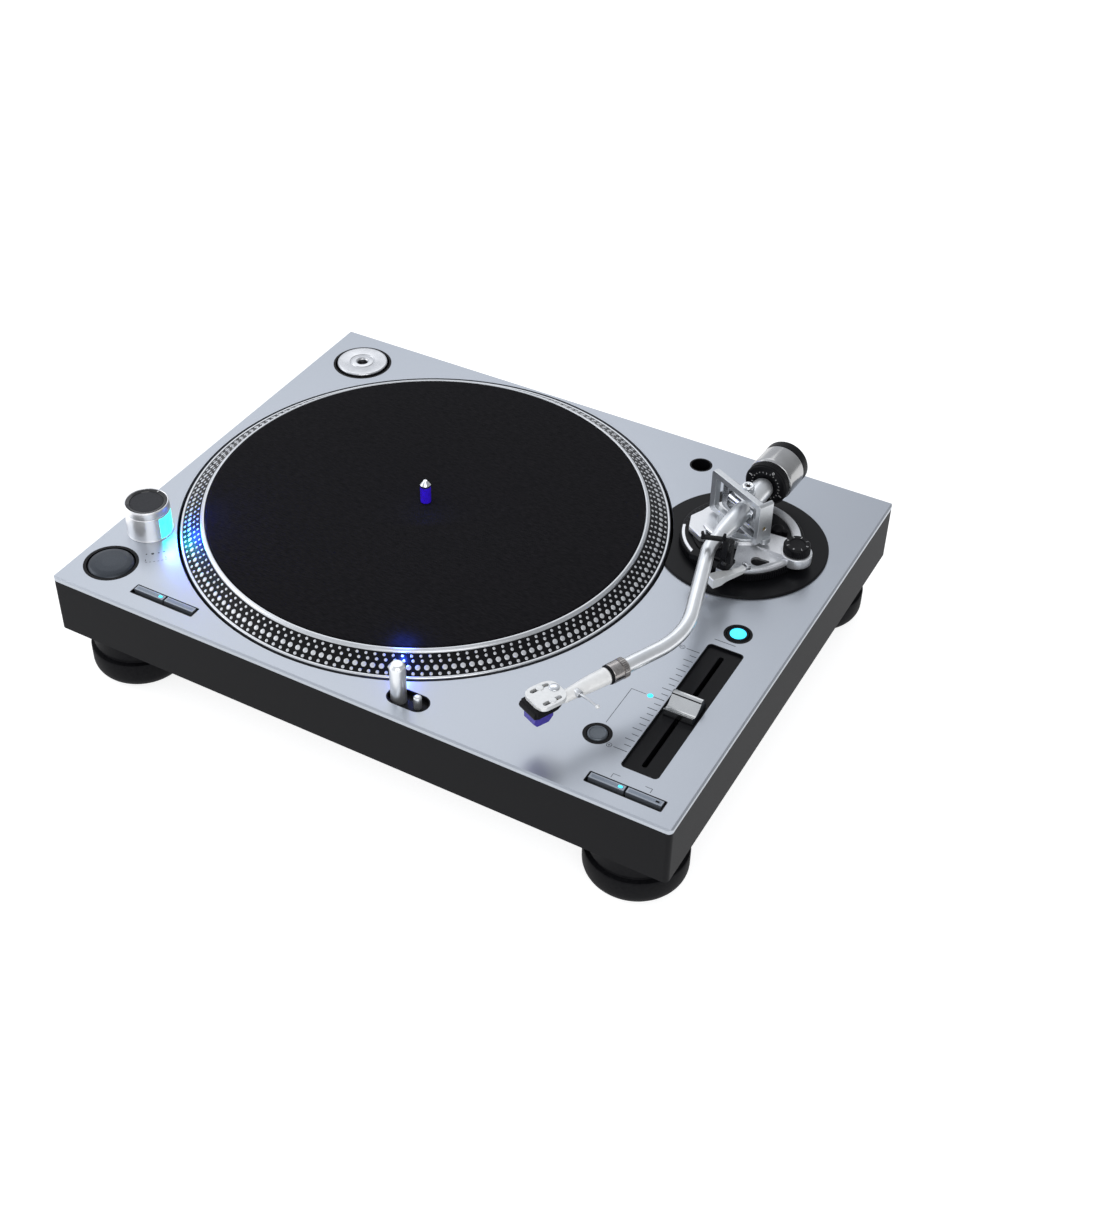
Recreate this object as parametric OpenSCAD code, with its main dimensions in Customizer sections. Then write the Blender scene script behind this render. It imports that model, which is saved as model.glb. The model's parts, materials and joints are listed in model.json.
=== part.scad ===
// Direct-drive record player with an S-shaped arm.
// Millimetres, +Z up, -Y is the front, the floor under the feet is z = 0
// and the origin is under the middle of the plinth.

/* [Plinth] */
// Width of the plinth and the top plate
deck_w = 450; // [446:1:470]
// Depth of the plinth and the top plate
deck_d = 352; // [350:1:370]
// Height of the plinth with its top plate
plinth_h = 44; // [43:0.5:50]
// Thickness of the top plate
plate_t = 3.5; // [2.5:0.5:4]
// Radius of the four upright corners
corner_r = 3.2; // [2:0.2:8]
// Thickness of the plinth's side walls
wall = 4; // [3:0.5:4.5]

/* [Feet] */
// Clearance between the floor and the underside of the plinth
foot_h = 39.5; // [36:0.5:44]
// Radius of a foot's cup
foot_r = 32.8; // [28:0.2:34]
// Distance of a foot's axis from the middle, along X
foot_x = 189.4; // [180:0.2:190]
// Distance of a foot's axis from the middle, along Y
foot_y = 141.6; // [130:0.2:142]

/* [Platter] */
// Spindle axis, along X
spin_x = -48; // [-50:0.5:-46]
// Spindle axis, along Y
spin_y = 4; // [2:0.5:4.5]
// Outer radius of the platter
platter_r = 167; // [166:0.2:167.4]
// Radius of the round opening in the top plate
well_r = 169.1; // [168.8:0.1:169.4]
// Radius of the slipmat
mat_r = 149.3; // [146:0.1:149.5]
// Height of the slipmat's surface above the top plate
mat_z = 11; // [10.5:0.1:11.5]
// Radius of the spindle's pin, which fits a record's hole
pin_r = 3.6; // [3.5:0.05:3.62]

/* [Arm] */
// Arm's upright axis, along X
arm_x = 152.6; // [150:0.2:154]
// Arm's upright axis, along Y
arm_y = 81.4; // [80:0.2:84]
// Height of the arm's tilt axis above the top plate
arm_z = 31; // [30.5:0.1:31.5]
// Angle of the parked arm from the -Y direction, seen from above
park_a = -3.2; // [-4:0.1:-2.5]
// Outer radius of the arm tube
tube_r = 4.75; // [4:0.05:4.8]
// Angle of the gimbal about the upright axis
gimbal_a = -27; // [-28:0.5:-26]
// Angle of the headshell from the arm's straight root
offset_a = 21.5; // [21:0.1:22]

/* [Controls] */
// Radius of the start and stop button
start_r = 15.8; // [14:0.1:16]
// Radius of the strobe tower
tower_r = 15.7; // [14:0.1:16]
// Height of the strobe tower
tower_h = 24; // [22:0.5:26]
// Radius of the adapter for large-hole records
adapter_r = 19.05; // [19:0.05:19.1]
// Length of the pitch fader's panel
fader_l = 124; // [122:1:126]
// Width of the pitch fader's panel
fader_w = 24.5; // [23:0.1:25]

/* [Hidden] */
$fn = 64;
eps = 0.01;
fit = 0.05;                  // radial clearance of a running fit
gap = 0.3;                   // clearance between pieces that pass each other
top_z = foot_h + plinth_h;   // upper face of the top plate
cover_t = 3;                 // thickness of the bottom cover
cover_z = foot_h + cover_t;  // inner face of the bottom cover
cup_z = 22;                  // top of a foot's cup
groove_z = 25;               // top of the groove above a foot's cup
neck_r = 30.5;               // radius of the fixed neck above a foot

// places on the top plate, from the middle of the plinth
START = [-200, -146];
TOWER = [-200.5, -104];
SPEED = [-145.5, -158.8];
RANGE = [188.3, -161];
QUARTZ = [188.4, -3.8];
RESET = [152.8, -127.2];
LED = [165.4, -82.3];
FADER = [188.3, -82.3];
LAMP = [33.4, -158.7];
RELEASE = [47, -158.7];
ADAPTER = [-191, 141.5];
SHELLPARK = [90.8, 150.2];
SCREWS = [[-215, -110], [-215, 110], [-128, 166], [60, 166], [215, 150],
  [215, -100], [110, -166]];

// depths below the top plate
floor_z = -22;               // upper face of the platter well's floor
key_l = 23.4;                // length of a flat key
key_w = 6.2;                 // width of a flat key
bezel_w = [50, 9.3];         // outer size of a pair of keys' bezel

// arm tube, in its own frame: root along -Y from the upright axis
root_l = 46;                 // straight root
bend1_a = 19;                // first bend, outwards
bend1_r = 30;
mid_l = 61.6;                  // straight middle
bend2_r = 61;                // second bend, inwards
mid_p = [bend1_r * (1 - cos(bend1_a)), -root_l - bend1_r * sin(bend1_a)];
bend2_p = mid_p + mid_l * [sin(bend1_a), -cos(bend1_a)];
tail_p = bend2_p + bend2_r * [cos(offset_a) - cos(bend1_a), -sin(bend1_a) - sin(offset_a)];
collar_s = 24;               // start of the headshell's collar along the tail
collar_l = 13.5;             // length of the collar
shell_s = 68;                // rear edge of the headshell's plate along the tail
shell_l = 21.5;                // length of the headshell's plate
shell_w = 20;              // width of the headshell's plate
shell_off = -4.4;            // sideways offset of the plate from the neck
stylus_s = 84;               // place of the stylus tip along the tail
dial_y = 29;                 // front of the stylus-force dial behind the axis
weight_y = 35;               // front of the counterweight behind the axis

// ---- helpers ----

module rrect(w, d, r) {
  square([w - 2 * r, d], center = true);
  square([w, d - 2 * r], center = true);
  for (sx = [-1, 1], sy = [-1, 1])
    translate([sx * (w / 2 - r), sy * (d / 2 - r)]) circle(r = r);
}

module slab(w, d, r, z0, z1) {
  translate([0, 0, z0]) linear_extrude(z1 - z0) rrect(w, d, r);
}

module disc(r, z0, z1) {
  translate([0, 0, z0]) cylinder(r = r, h = z1 - z0);
}

module cone(r0, r1, z0, z1) {
  translate([0, 0, z0]) cylinder(r1 = r0, r2 = r1, h = z1 - z0);
}

module tube(r_out, r_in, z0, z1) {
  difference() {
    disc(r_out, z0, z1);
    disc(r_in, z0 - 1, z1 + 1);
  }
}

module box(x0, x1, y0, y1, z0, z1) {
  translate([x0, y0, z0]) cube([x1 - x0, y1 - y0, z1 - z0]);
}

// a cup let into the top plate, with its floor below
module cup(r_out, r_in, depth) {
  difference() {
    disc(r_out, -depth, 0);
    disc(r_in, 1.5 - depth, 1);
  }
}

// moves to a place on the top plate
module on_deck(p) {
  translate([p[0], p[1], top_z]) children();
}

module at_spindle() { on_deck([spin_x, spin_y]) children(); }

// arm's upright axis, at the top plate
module at_arm() { on_deck([arm_x, arm_y]) children(); }

// gimbal frame: X along the tilt axis, -Y outwards, z = 0 at the top plate
module at_gimbal() { at_arm() rotate([0, 0, gimbal_a]) children(); }

// arm frame: root along -Y, z = 0 on the tilt axis
module at_tube() {
  at_arm() translate([0, 0, arm_z]) rotate([0, 0, park_a]) children();
}

// tail frame: -Y runs on from the tube's last bend, z = 0 on the tube's axis
module at_tail() {
  at_tube() translate([tail_p[0], tail_p[1], 0]) rotate([0, 0, -offset_a]) children();
}

// a cylinder along -Y from y = -s0 to y = -s1
module along(r0, r1, s0, s1) {
  translate([0, -s0, 0]) rotate([90, 0, 0]) cylinder(r1 = r0, r2 = r1, h = s1 - s0);
}

// ---- plinth ----

module plinth() {
  inner_w = deck_w - 2 * wall;
  inner_d = deck_d - 2 * wall;
  color([0.13, 0.13, 0.14]) difference() {
    union() {
      difference() {
        slab(deck_w, deck_d, corner_r, foot_h, top_z - plate_t);
        slab(inner_w, inner_d, 2, foot_h - 1, top_z);
      }
      for (p = SCREWS) intersection() {
        translate([p[0], p[1], 0]) {
          disc(7.2, cover_z, cover_z + 20);
          disc(5.2, cover_z + 20 - eps, top_z - plate_t);
        }
        slab(deck_w - 1, deck_d - 1, corner_r, foot_h, top_z);
      }
    }
    for (p = SCREWS) translate([p[0], p[1], foot_h]) cylinder(r = 2.05, h = 30);
    translate([spin_x, spin_y, top_z + floor_z - 3]) cylinder(r = well_r + 1.8, h = 40);
    translate([0, deck_d / 2 - wall - 1, foot_h]) {
      box(104, 176, 0, 10, 8, 32);
      box(-182, -148, 0, 10, 8, 32);
    }
  }
}

module top_plate() {
  bevel = 1.1;
  color([0.74, 0.76, 0.80]) on_deck([0, 0]) difference() {
    translate([0, 0, -plate_t]) linear_extrude(plate_t) rrect(deck_w, deck_d, corner_r);
    for (a = [0, 180]) rotate([0, 0, a]) {
      translate([0, -deck_d / 2, 0]) rotate([45, 0, 0])
        cube([deck_w + 2, bevel * sqrt(2), bevel * sqrt(2)], center = true);
      translate([deck_w / 2, 0, 0]) rotate([0, 45, 0])
        cube([bevel * sqrt(2), deck_d + 2, bevel * sqrt(2)], center = true);
    }
    translate([spin_x, spin_y, 0]) disc(well_r, -plate_t - 1, 1);
    translate([START[0], START[1], 0]) disc(18.4, -9, 1);
    translate([TOWER[0], TOWER[1], 0]) disc(6, -9, 1);
    translate([QUARTZ[0], QUARTZ[1], 0]) disc(9.3, -9, 1);
    translate([RESET[0], RESET[1], 0]) disc(9.1, -9, 1);
    translate([LED[0], LED[1], 0]) disc(1.9, -9, 1);
    translate([ADAPTER[0], ADAPTER[1], 0]) disc(22.2, -9, 1);
    translate([SHELLPARK[0], SHELLPARK[1], 0]) disc(8.1, -9, 1);
    translate([arm_x, arm_y, 0]) disc(42.2, -9, 1);
    translate([SPEED[0], SPEED[1], 0]) slab(bezel_w[0], bezel_w[1], 1, -9, 1);
    translate([RANGE[0], RANGE[1], 0]) slab(bezel_w[0], bezel_w[1], 1, -9, 1);
    translate([FADER[0], FADER[1], 0]) slab(fader_w, fader_l, 3, -9, 1);
    translate([(LAMP[0] + RELEASE[0]) / 2, LAMP[1], 0])
      slab(RELEASE[0] - LAMP[0] + 15.4, 15.3, 7.6, -9, 1);
  }
}

module foot_places() {
  for (sx = [-1, 1], sy = [-1, 1]) translate([sx * foot_x, sy * foot_y, 0]) children();
}

module bottom_cover() {
  color([0.10, 0.10, 0.11]) difference() {
    slab(deck_w - 2 * wall - 0.6, deck_d - 2 * wall - 0.6, 2, foot_h, cover_z);
    foot_places() disc(4 + fit, foot_h - 1, cover_z + 1);
    for (p = SCREWS) translate([p[0], p[1], 0]) {
      disc(2.2, foot_h - 1, cover_z + 1);
      cone(4.2, 2.2, foot_h - eps, foot_h + 2);
    }
    for (i = [-4:4]) translate([-30 + 12 * i, 80, 0]) slab(4, 50, 1.9, foot_h - 1, cover_z + 1);
  }
}

// round neck under the cover and threaded boss above it, at each foot
module foot_necks() {
  color([0.10, 0.10, 0.11]) foot_places() {
    tube(neck_r, 4 + fit, groove_z + gap, foot_h);
    tube(9, 4 + fit, cover_z, cover_z + 9);
  }
}

module bottom_screws() {
  color([0.55, 0.55, 0.57]) for (p = SCREWS) translate([p[0], p[1], 0]) difference() {
    union() {
      cone(4.1, 2, foot_h, foot_h + 2.05);
      disc(1.85, foot_h + 2, foot_h + 28);
    }
    for (a = [0, 90]) rotate([0, 0, a]) box(-2.2, 2.2, -0.45, 0.45, foot_h - 1, foot_h + 1.1);
  }
}

// ---- drive ----

module platter_well() {
  rim = 1.5;
  color([0.09, 0.09, 0.10]) at_spindle() difference() {
    disc(well_r + rim, floor_z - 2, -plate_t);
    disc(well_r, floor_z, 1);
    disc(11.2, floor_z - 5, 1);
    for (a = [45:90:315]) rotate([0, 0, a]) translate([74, 0, 0]) disc(2, floor_z - 5, 1);
  }
}

module motor_base() {
  color([0.45, 0.46, 0.48]) at_spindle() difference() {
    union() {
      disc(84, floor_z, floor_z + 3);
      disc(17, floor_z, floor_z + 9);
    }
    disc(11 + 0.02, floor_z - 1, 0);
    for (a = [45:90:315]) rotate([0, 0, a]) translate([74, 0, 0]) disc(2, floor_z - 1, 0);
  }
}

module stator_coils() {
  base = floor_z + 3;
  color([0.72, 0.42, 0.20]) at_spindle() {
    tube(80, 45, base, base + 1.2);
    for (a = [0:30:330]) rotate([0, 0, a]) translate([62, 0, 0])
      tube(12.5, 5, base + 1.2 - eps, base + 10);
  }
}

module spindle_bearing() {
  color([0.80, 0.66, 0.36]) at_spindle() difference() {
    union() {
      disc(11, -38.5, -8);
      disc(13.5, -24 - 2.5, -24);
    }
    disc(5 + fit, -36.2, 0);
  }
}

module spindle() {
  color([0.86, 0.87, 0.88]) at_spindle() {
    disc(5, -36, 4);
    disc(9, -5.5, -3);
    disc(pin_r - 0.6, 4 - eps, mat_z + eps);
    disc(pin_r, mat_z, 25);
    cone(pin_r, 1.3, 25 - eps, 28);
  }
}

module rotor_magnet() {
  color([0.25, 0.25, 0.27]) at_spindle() tube(77, 47, -6, 0);
}

module platter() {
  mat_floor = mat_z - 3;
  r = platter_r;
  band_in = r - 14.1;       // where the sloping dotted band starts
  color([0.78, 0.79, 0.81]) at_spindle() rotate_extrude($fn = 180) polygon([
    [5.02, -3], [20, -3], [22, 0], [r - 8, 0], [r - 5, -1], [r - 4.5, -7],
    [r - 0.5, -7], [r, -6.4], [r, 0.1], [r - 0.5, 0.7], [r - 1.6, 0.8],
    [r - 1.9, 0.3], [band_in, mat_z - 2.3], [band_in - 0.3, mat_z - 1.7],
    [band_in - 1.6, mat_z - 0.6], [mat_r + 0.9, mat_z - 0.5],
    [mat_r + 0.4, mat_z - 0.9], [mat_r + 0.4, mat_floor], [pin_r + 0.04, mat_floor],
    [pin_r + 0.04, 4.02], [5.02, 4.02]]);
}

module slipmat() {
  color([0.07, 0.07, 0.08]) at_spindle() difference() {
    union() {
      disc(mat_r, mat_z - 3, mat_z - 0.6);
      cone(mat_r, mat_r - 0.6, mat_z - 0.6 - eps, mat_z);
    }
    disc(pin_r + 0.3, 0, 20);
  }
}

// ---- electronics ----

// main board on the left and power supply on the right, on their standoffs
module circuit_boards() {
  board_z = 47;
  parts_z = board_z + 1.6;   // upper face of both boards
  color([0.10, 0.35, 0.18]) {
    box(-108, 8, -118, -32, board_z, parts_z);
    box(-70, -50, -90, -70, parts_z - eps, 51);
    box(-20, -6, -100, -60, parts_z - eps, 52);
    for (x = [-96, -84]) translate([x, -50, 0]) disc(4, parts_z - eps, 57);
    for (x = [-100, 0], y = [-110, -40]) translate([x, y, 0]) disc(4, cover_z, board_z + eps);
    box(124, 168, -146, -24, board_z, parts_z);
    box(128, 164, -100, -62, parts_z - eps, 68);
    box(135, 157, -106, -56, 53, 64);
    translate([146, -124, 0]) disc(8, parts_z - eps, 66);
    box(130, 160, -48, -40, parts_z - eps, 60);
    for (x = [128, 164], y = [-140, -30]) translate([x, y, 0]) disc(3.5, cover_z, board_z + eps);
  }
}

// back edge of the rear connector pockets
module rear() { translate([0, deck_d / 2 - wall - 1, foot_h]) children(); }

// round part pointing out of the back
module rearward(x, z, r, y0, y1) {
  translate([x, y0, z]) rotate([-90, 0, 0]) cylinder(r = r, h = y1 - y0);
}

module rear_jacks() {
  panel = -9;                // outer face of the recessed panel
  color([0.16, 0.16, 0.17]) rear() difference() {
    union() {
      difference() {
        box(102, 178, panel - 3, 1, 6, 34);
        box(104, 176, panel, 2, 8, 32);
      }
      for (x = [118, 134]) {
        rearward(x, 20, 6, panel - 8, panel + 1.5);
        rearward(x, 20, 4.15, panel + 1.4, panel + 10);
      }
      rearward(150, 20, 2.2, panel - 6, panel + 7);
      rearward(150, 20, 5, panel + 1, panel + 5);
    }
    for (x = [118, 134]) rearward(x, 20, 1.6, panel + 2, panel + 11);
    box(162 - 4, 162 + 4, panel - 4, panel + 1, 18, 22);
  }
}

module line_switch() {
  panel = -9;
  color([0.85, 0.85, 0.86]) rear() {
    box(159, 161.4, panel - 4, panel + 2.2, 18 + gap, 22 - gap);
    box(156, 164.4, panel - 5, panel - 3 - gap, 16.5, 23.5);
  }
}

module power_inlet() {
  color([0.08, 0.08, 0.09]) rear() difference() {
    union() {
      box(-184, -146, -2, 1, 6, 34);
      box(-181, -149, -24, -1.9, 9, 31);
    }
    difference() {
      box(-178, -152, -20, 2, 12, 28);
      for (x = [-171, -165, -159]) box(x - 1, x + 1, -21, -6, x == -165 ? 21 : 17, x == -165 ? 25 : 21);
    }
  }
}

// ---- controls ----

module ring_well(p, r_out, r_in, depth) {
  on_deck(p) difference() {
    union() {
      disc(r_out - 0.02, -depth, 0);
      disc(r_out + 1.5, -plate_t - 1.5, -plate_t);
    }
    disc(r_in, 1.5 - depth, 1);
  }
}

module button_wells() {
  color([0.06, 0.06, 0.07]) {
    ring_well(START, 18.4, start_r + 0.5, 10);
    ring_well(QUARTZ, 9.3, 7.6, 9);
    ring_well(RESET, 9.1, 6.8, 9);
  }
}

module domed_button(p, r, depth, rise) {
  ball = (r * r + rise * rise) / (2 * rise);
  on_deck(p) intersection() {
    disc(r, -depth, 3);
    translate([0, 0, rise + 0.6 - ball]) sphere(r = ball, $fn = 120);
  }
}

module start_button() { color([0.30, 0.32, 0.34]) domed_button(START, start_r, 5.5, 1.2); }
module quartz_button() { color([0.10, 0.85, 0.95]) domed_button(QUARTZ, 7.2, 4.5, 0.5); }
module reset_button() { color([0.28, 0.31, 0.34]) domed_button(RESET, 6.4, 4.5, 0.5); }

module key_bezel(p) {
  on_deck(p) difference() {
    union() {
      slab(bezel_w[0] - 0.04, bezel_w[1] - 0.04, 0.98, -8, 0);
      slab(bezel_w[0] + 3, bezel_w[1] + 3, 1, -plate_t - 1.5, -plate_t);
    }
    slab(bezel_w[0] - 1.4, bezel_w[1] - 1.4, 0.4, -6.5, 1);
  }
}

module switch_bezels() {
  color([0.06, 0.06, 0.07]) {
    key_bezel(SPEED);
    key_bezel(RANGE);
  }
}

module key(p, side) {
  on_deck(p) translate([side * (key_l / 2 + 0.35), 0.55, 0]) difference() {
    slab(key_l, key_w, 0.5, -4.5, 0.9);
    translate([0, -key_w / 2, 0.9]) rotate([45, 0, 0]) cube([key_l + 2, 1, 1], center = true);
  }
}

module speed_button_33() { color([0.52, 0.54, 0.57]) key(SPEED, -1); }
module speed_button_45() { color([0.52, 0.54, 0.57]) key(SPEED, 1); }
module range_button_left() { color([0.52, 0.54, 0.57]) key(RANGE, -1); }
module range_button_right() { color([0.52, 0.54, 0.57]) key(RANGE, 1); }

module pitch_panel() {
  color([0.05, 0.05, 0.06]) on_deck(FADER) difference() {
    union() {
      slab(fader_w - 0.04, fader_l - 0.04, 2.98, -4, 0);
      slab(fader_w + 3, fader_l + 3, 3, -5.5, -plate_t);
    }
    slab(fader_w - 1.4, fader_l - 1.4, 2.3, -1.6, 1);
    slab(3.4, fader_l - 14, 1.6, -7, 1);
  }
}

module pitch_potentiometer() {
  travel = 50;
  color([0.60, 0.61, 0.62]) on_deck(FADER) difference() {
    slab(13, fader_l - 4, 0.5, -17, -6);
    slab(9, fader_l - 8, 0.5, -15.5, -7.2);
    slab(4, 2 * travel + 10, 1.5, -8, -5);
  }
}

module pitch_knob() {
  half = 9.5;
  color([0.80, 0.81, 0.83]) on_deck(FADER) {
    difference() {
      slab(19.4, 2 * half, 0.8, -1.3, 7.2);
      translate([-12, -2.5, 13.2]) rotate([0, 90, 0]) cylinder(r = 10, h = 24);
      translate([0, 0, -3]) slab(16.4, 2 * half - 3, 0.4, 0, 5);
    }
    box(-1.1, 1.1, -2.8, 2.8, -13.5, 3);
    box(-4, 4, -3.5, 3.5, -15.2, -10);
  }
}

module centre_led() {
  color([0.2, 0.9, 1.0]) on_deck(LED) {
    disc(1.85, -5, 0);
    intersection() {
      disc(1.85, -0.5, 1);
      translate([0, 0, -2.7]) sphere(r = 3.2);
    }
  }
}

lamp_r = 5.1;
release_r = 2.6;

module target_well() {
  mid = (LAMP[0] + RELEASE[0]) / 2;
  span = RELEASE[0] - LAMP[0] + 15.4;
  color([0.06, 0.06, 0.07]) on_deck([0, 0]) difference() {
    union() {
      translate([mid, LAMP[1], 0]) slab(span - 0.04, 15.26, 7.58, -12, 0);
      translate([LAMP[0], LAMP[1], 0]) disc(6.6, -34, -11);
    }
    translate([mid, LAMP[1], 0]) slab(span - 1.6, 13.7, 6.8, -3.2, 1);
    translate([LAMP[0], LAMP[1], 0]) disc(lamp_r + fit, -32.5, 1);
    translate([RELEASE[0], RELEASE[1], 0]) disc(release_r + fit, -10.5, 1);
  }
}

module target_lamp() {
  height = 26.2;
  color([0.85, 0.86, 0.87]) on_deck(LAMP) difference() {
    union() {
      disc(lamp_r, -10, height - 1.6);
      cone(lamp_r, lamp_r - 1.4, height - 1.6 - eps, height);
    }
    translate([0, lamp_r - 1.25, height - 4.6]) rotate([-90, 0, 0]) cylinder(r = 1.5, h = 4);
  }
}

module target_release() {
  color([0.85, 0.86, 0.87]) on_deck(RELEASE) {
    disc(release_r, -6.5, 5);
    cone(release_r, release_r - 0.8, 5 - eps, 5.8);
  }
}

module storage_wells() {
  color([0.07, 0.07, 0.08]) {
    on_deck(ADAPTER) difference() {
      union() {
        disc(22.18, -7.5, 0);
        disc(23.7, -5, -plate_t);
      }
      difference() {
        disc(adapter_r + 1.6, -6, 1);
        disc(3.4, -7, -1.6);
      }
    }
    on_deck(SHELLPARK) difference() {
      union() {
        disc(8.08, -16, 0);
        disc(9.6, -5, -plate_t);
      }
      disc(6.9, -14.5, 1);
    }
  }
}

module adapter_45() {
  color([0.82, 0.83, 0.85]) on_deck(ADAPTER) difference() {
    union() {
      disc(adapter_r, -5.9, 1.1);
      cone(adapter_r, adapter_r - 0.8, 1.1 - eps, 1.9);
    }
    disc(3.62, -8, 4);
    cone(3.62, 5, 0.9, 1.91);
  }
}

// window in the strobe tower, facing the platter
window_a = [-22, 82];
window_z = [1.2, 17];
tower_split = 18;            // height of the turning cap's lower edge

module window_sector(r0, r1) {
  rotate([0, 0, window_a[0]]) translate([0, 0, window_z[0]])
    rotate_extrude(angle = window_a[1] - window_a[0]) translate([r0, 0])
      square([r1 - r0, window_z[1] - window_z[0]]);
}

module strobe_pod() {
  color([0.74, 0.75, 0.77]) on_deck(TOWER) difference() {
    union() {
      disc(tower_r, 0, 0.8);
      cone(tower_r, tower_r - 0.5, 0.8 - eps, tower_split);
      disc(5.8, -12, eps);
    }
    disc(tower_r - 2.4, 1.6, tower_split - 1.6);
    disc(4 + fit, -10, tower_split + 1);
    window_sector(tower_r - 3, tower_r + 1);
  }
}

module strobe_window() {
  color([0.30, 0.95, 1.0]) on_deck(TOWER) window_sector(tower_r - 2.5, tower_r - 0.6);
}

module power_knob() {
  color([0.74, 0.75, 0.77]) on_deck(TOWER) difference() {
    union() {
      disc(4, -9, tower_split + 1);
      cone(tower_r - 0.5, tower_r - 0.6, tower_split + gap, tower_h - 0.7);
      cone(tower_r - 0.6, tower_r - 1.3, tower_h - 0.7 - eps, tower_h);
    }
    tube(11.6, 10.9, tower_h - 0.4, tower_h + 1);
    translate([0, -tower_r + 0.2, 0]) rotate([0, 0, 45])
      box(-0.6, 0.6, -0.6, 0.6, tower_split, tower_split + 2.5);
  }
}

// ---- arm base ----

module arm_mount() {
  color([0.06, 0.06, 0.07]) difference() {
    at_arm() difference() {
      union() {
        disc(58.1, 0, 1);
        cone(58.1, 57.4, 1 - eps, 1.6);
        disc(42, -26, eps);
      }
      disc(16 + fit, -27, 2);
      tube(39, 22, -25, -3);
      rotate([0, 0, lock_a]) translate([24, 0, 0]) disc(2.5 + fit, -3.5, 2);
    }
    at_spindle() disc(well_r, -30, 5);
  }
}

lock_a = 36;                 // direction of the height lock from the upright axis

module height_ring() {
  teeth = 90;
  color([0.06, 0.06, 0.07]) at_arm() difference() {
    union() {
      disc(42, 1.9, 7.4);
      cone(42, 41.2, 7.4 - eps, 7.8);
    }
    disc(30, 1, 9);
    for (i = [0:teeth - 1]) rotate([0, 0, i * 360 / teeth]) translate([42.5, 0, 0])
      rotate([0, 0, 45]) box(-0.7, 0.7, -0.7, 0.7, 2.6, 6.8);
  }
}

module height_lock() {
  color([0.08, 0.08, 0.09]) at_arm() rotate([0, 0, lock_a]) translate([24, 0, 0]) {
    disc(2.5, -3.2, 3);
    cone(4.4, 4.1, 2, 12.4);
    rotate([0, 0, -40]) box(0, 4.7, -1.6, 1.6, 9, 12.4);
  }
}

// crescent-shaped window behind the column
module crescent() {
  intersection() {
    disc(29, 0, 20);
    rotate([0, 0, -4]) box(-2, 40, 0, 40, 0, 20);
  }
}

module arm_base() {
  dial = [40.4, -5];
  dish = 12.6;               // height of the casting's upper face
  hub_r = 17.5;
  color([0.76, 0.77, 0.79]) difference() {
    union() {
      at_arm() {
        disc(16, -22, 9);
        disc(39, 8.1, 9.4);
        disc(33, 9.4 - eps, dish);
        intersection() {
          disc(35.5, 9.4 - eps, dish);
          box(-45, 6, -45, 6, 0, 20);
        }
        intersection() {
          disc(41.5, 8.1, 11.4);
          box(0, 45, -45, 6, 0, 20);
        }
        disc(hub_r, 9, yoke_z[0]);
        translate([dial[0], dial[1], 0]) disc(10.4, 8.1, 13.2);
      }
      at_rest() box(4, 12.4, -4, 9, 8.6, dish);
      at_cue() {
        box(-6.6, 6.6, -3, 12, 8.9, 12);
        for (x = [-6.4, 4.4]) box(x, x + 2, -1.9, 1.9, 11, cue_z + 1.9);
        translate([-5, 0, cue_z]) rotate([0, 90, 0]) cylinder(r = 1.15, h = 10);
      }
    }
    at_arm() {
      difference() {
        crescent();
        disc(hub_r + 0.4, 0, 20);
      }
      translate([dial[0], dial[1], 0]) disc(2 + fit, 7.5, 14);
      rotate([0, 0, -44]) translate([31.4, 0, 0]) slab(4.4, 11, 2.1, 7, 14);
      disc(3, -23, 14);
      rotate([0, 0, (lift_a[0] + lift_a[1]) / 2]) translate([lift_r, 0, 0]) disc(2 + fit, 7, 22);
    }
    at_gimbal() box(yoke_w[0], yoke_w[1], yoke_n[0], yoke_n[1], yoke_z[0], 60);
  }
}

yoke_w = [-28, 24];          // sides of the yoke along the tilt axis
yoke_n = [-7, 4];            // front and back of the yoke
yoke_z = [15.2, 47.5];       // foot and top of the yoke
yoke_in = [-23, 19];         // sides of the yoke's opening
yoke_inz = [19.6, 43];       // foot and top of the yoke's opening

module gimbal_yoke() {
  color([0.78, 0.79, 0.81]) at_gimbal() {
    difference() {
      union() {
        translate([0, yoke_n[0], 0]) rotate([90, 0, 0]) mirror([0, 0, 1])
          linear_extrude(yoke_n[1] - yoke_n[0])
            translate([(yoke_w[0] + yoke_w[1]) / 2, (yoke_z[0] + yoke_z[1]) / 2])
              rrect(yoke_w[1] - yoke_w[0], yoke_z[1] - yoke_z[0], 3);
        disc(18, 15.2, 18);
      }
      translate([0, yoke_n[0] - 1, 0]) rotate([90, 0, 0]) mirror([0, 0, 1])
        linear_extrude(yoke_n[1] - yoke_n[0] + 2)
          translate([(yoke_in[0] + yoke_in[1]) / 2, (yoke_inz[0] + yoke_inz[1]) / 2])
            rrect(yoke_in[1] - yoke_in[0], yoke_inz[1] - yoke_inz[0], 2);
      box(-12, 12, -4.4, yoke_n[1] + 1, 45.4, 60);
      disc(19.5, 18, 19.7);
      disc(2 + fit, 16.5, 50);
      translate([yoke_w[1] - 3, -1.5, 27.5]) rotate([0, 90, 0]) cylinder(r = 1.6, h = 5);
    }
    tube(4.1, 2 + fit, 45.4 - eps, 46.6);
    disc(4.1, 46.6 - eps, 50);
  }
}

ring_w = [-20.5, 16.5];      // sides of the gimbal ring
ring_z = [21, 41.8];         // foot and top of the gimbal ring
ring_in = [-15, 11];         // sides of the ring's opening
ring_inz = [23.4, 39.4];     // foot and top of the ring's opening

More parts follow.
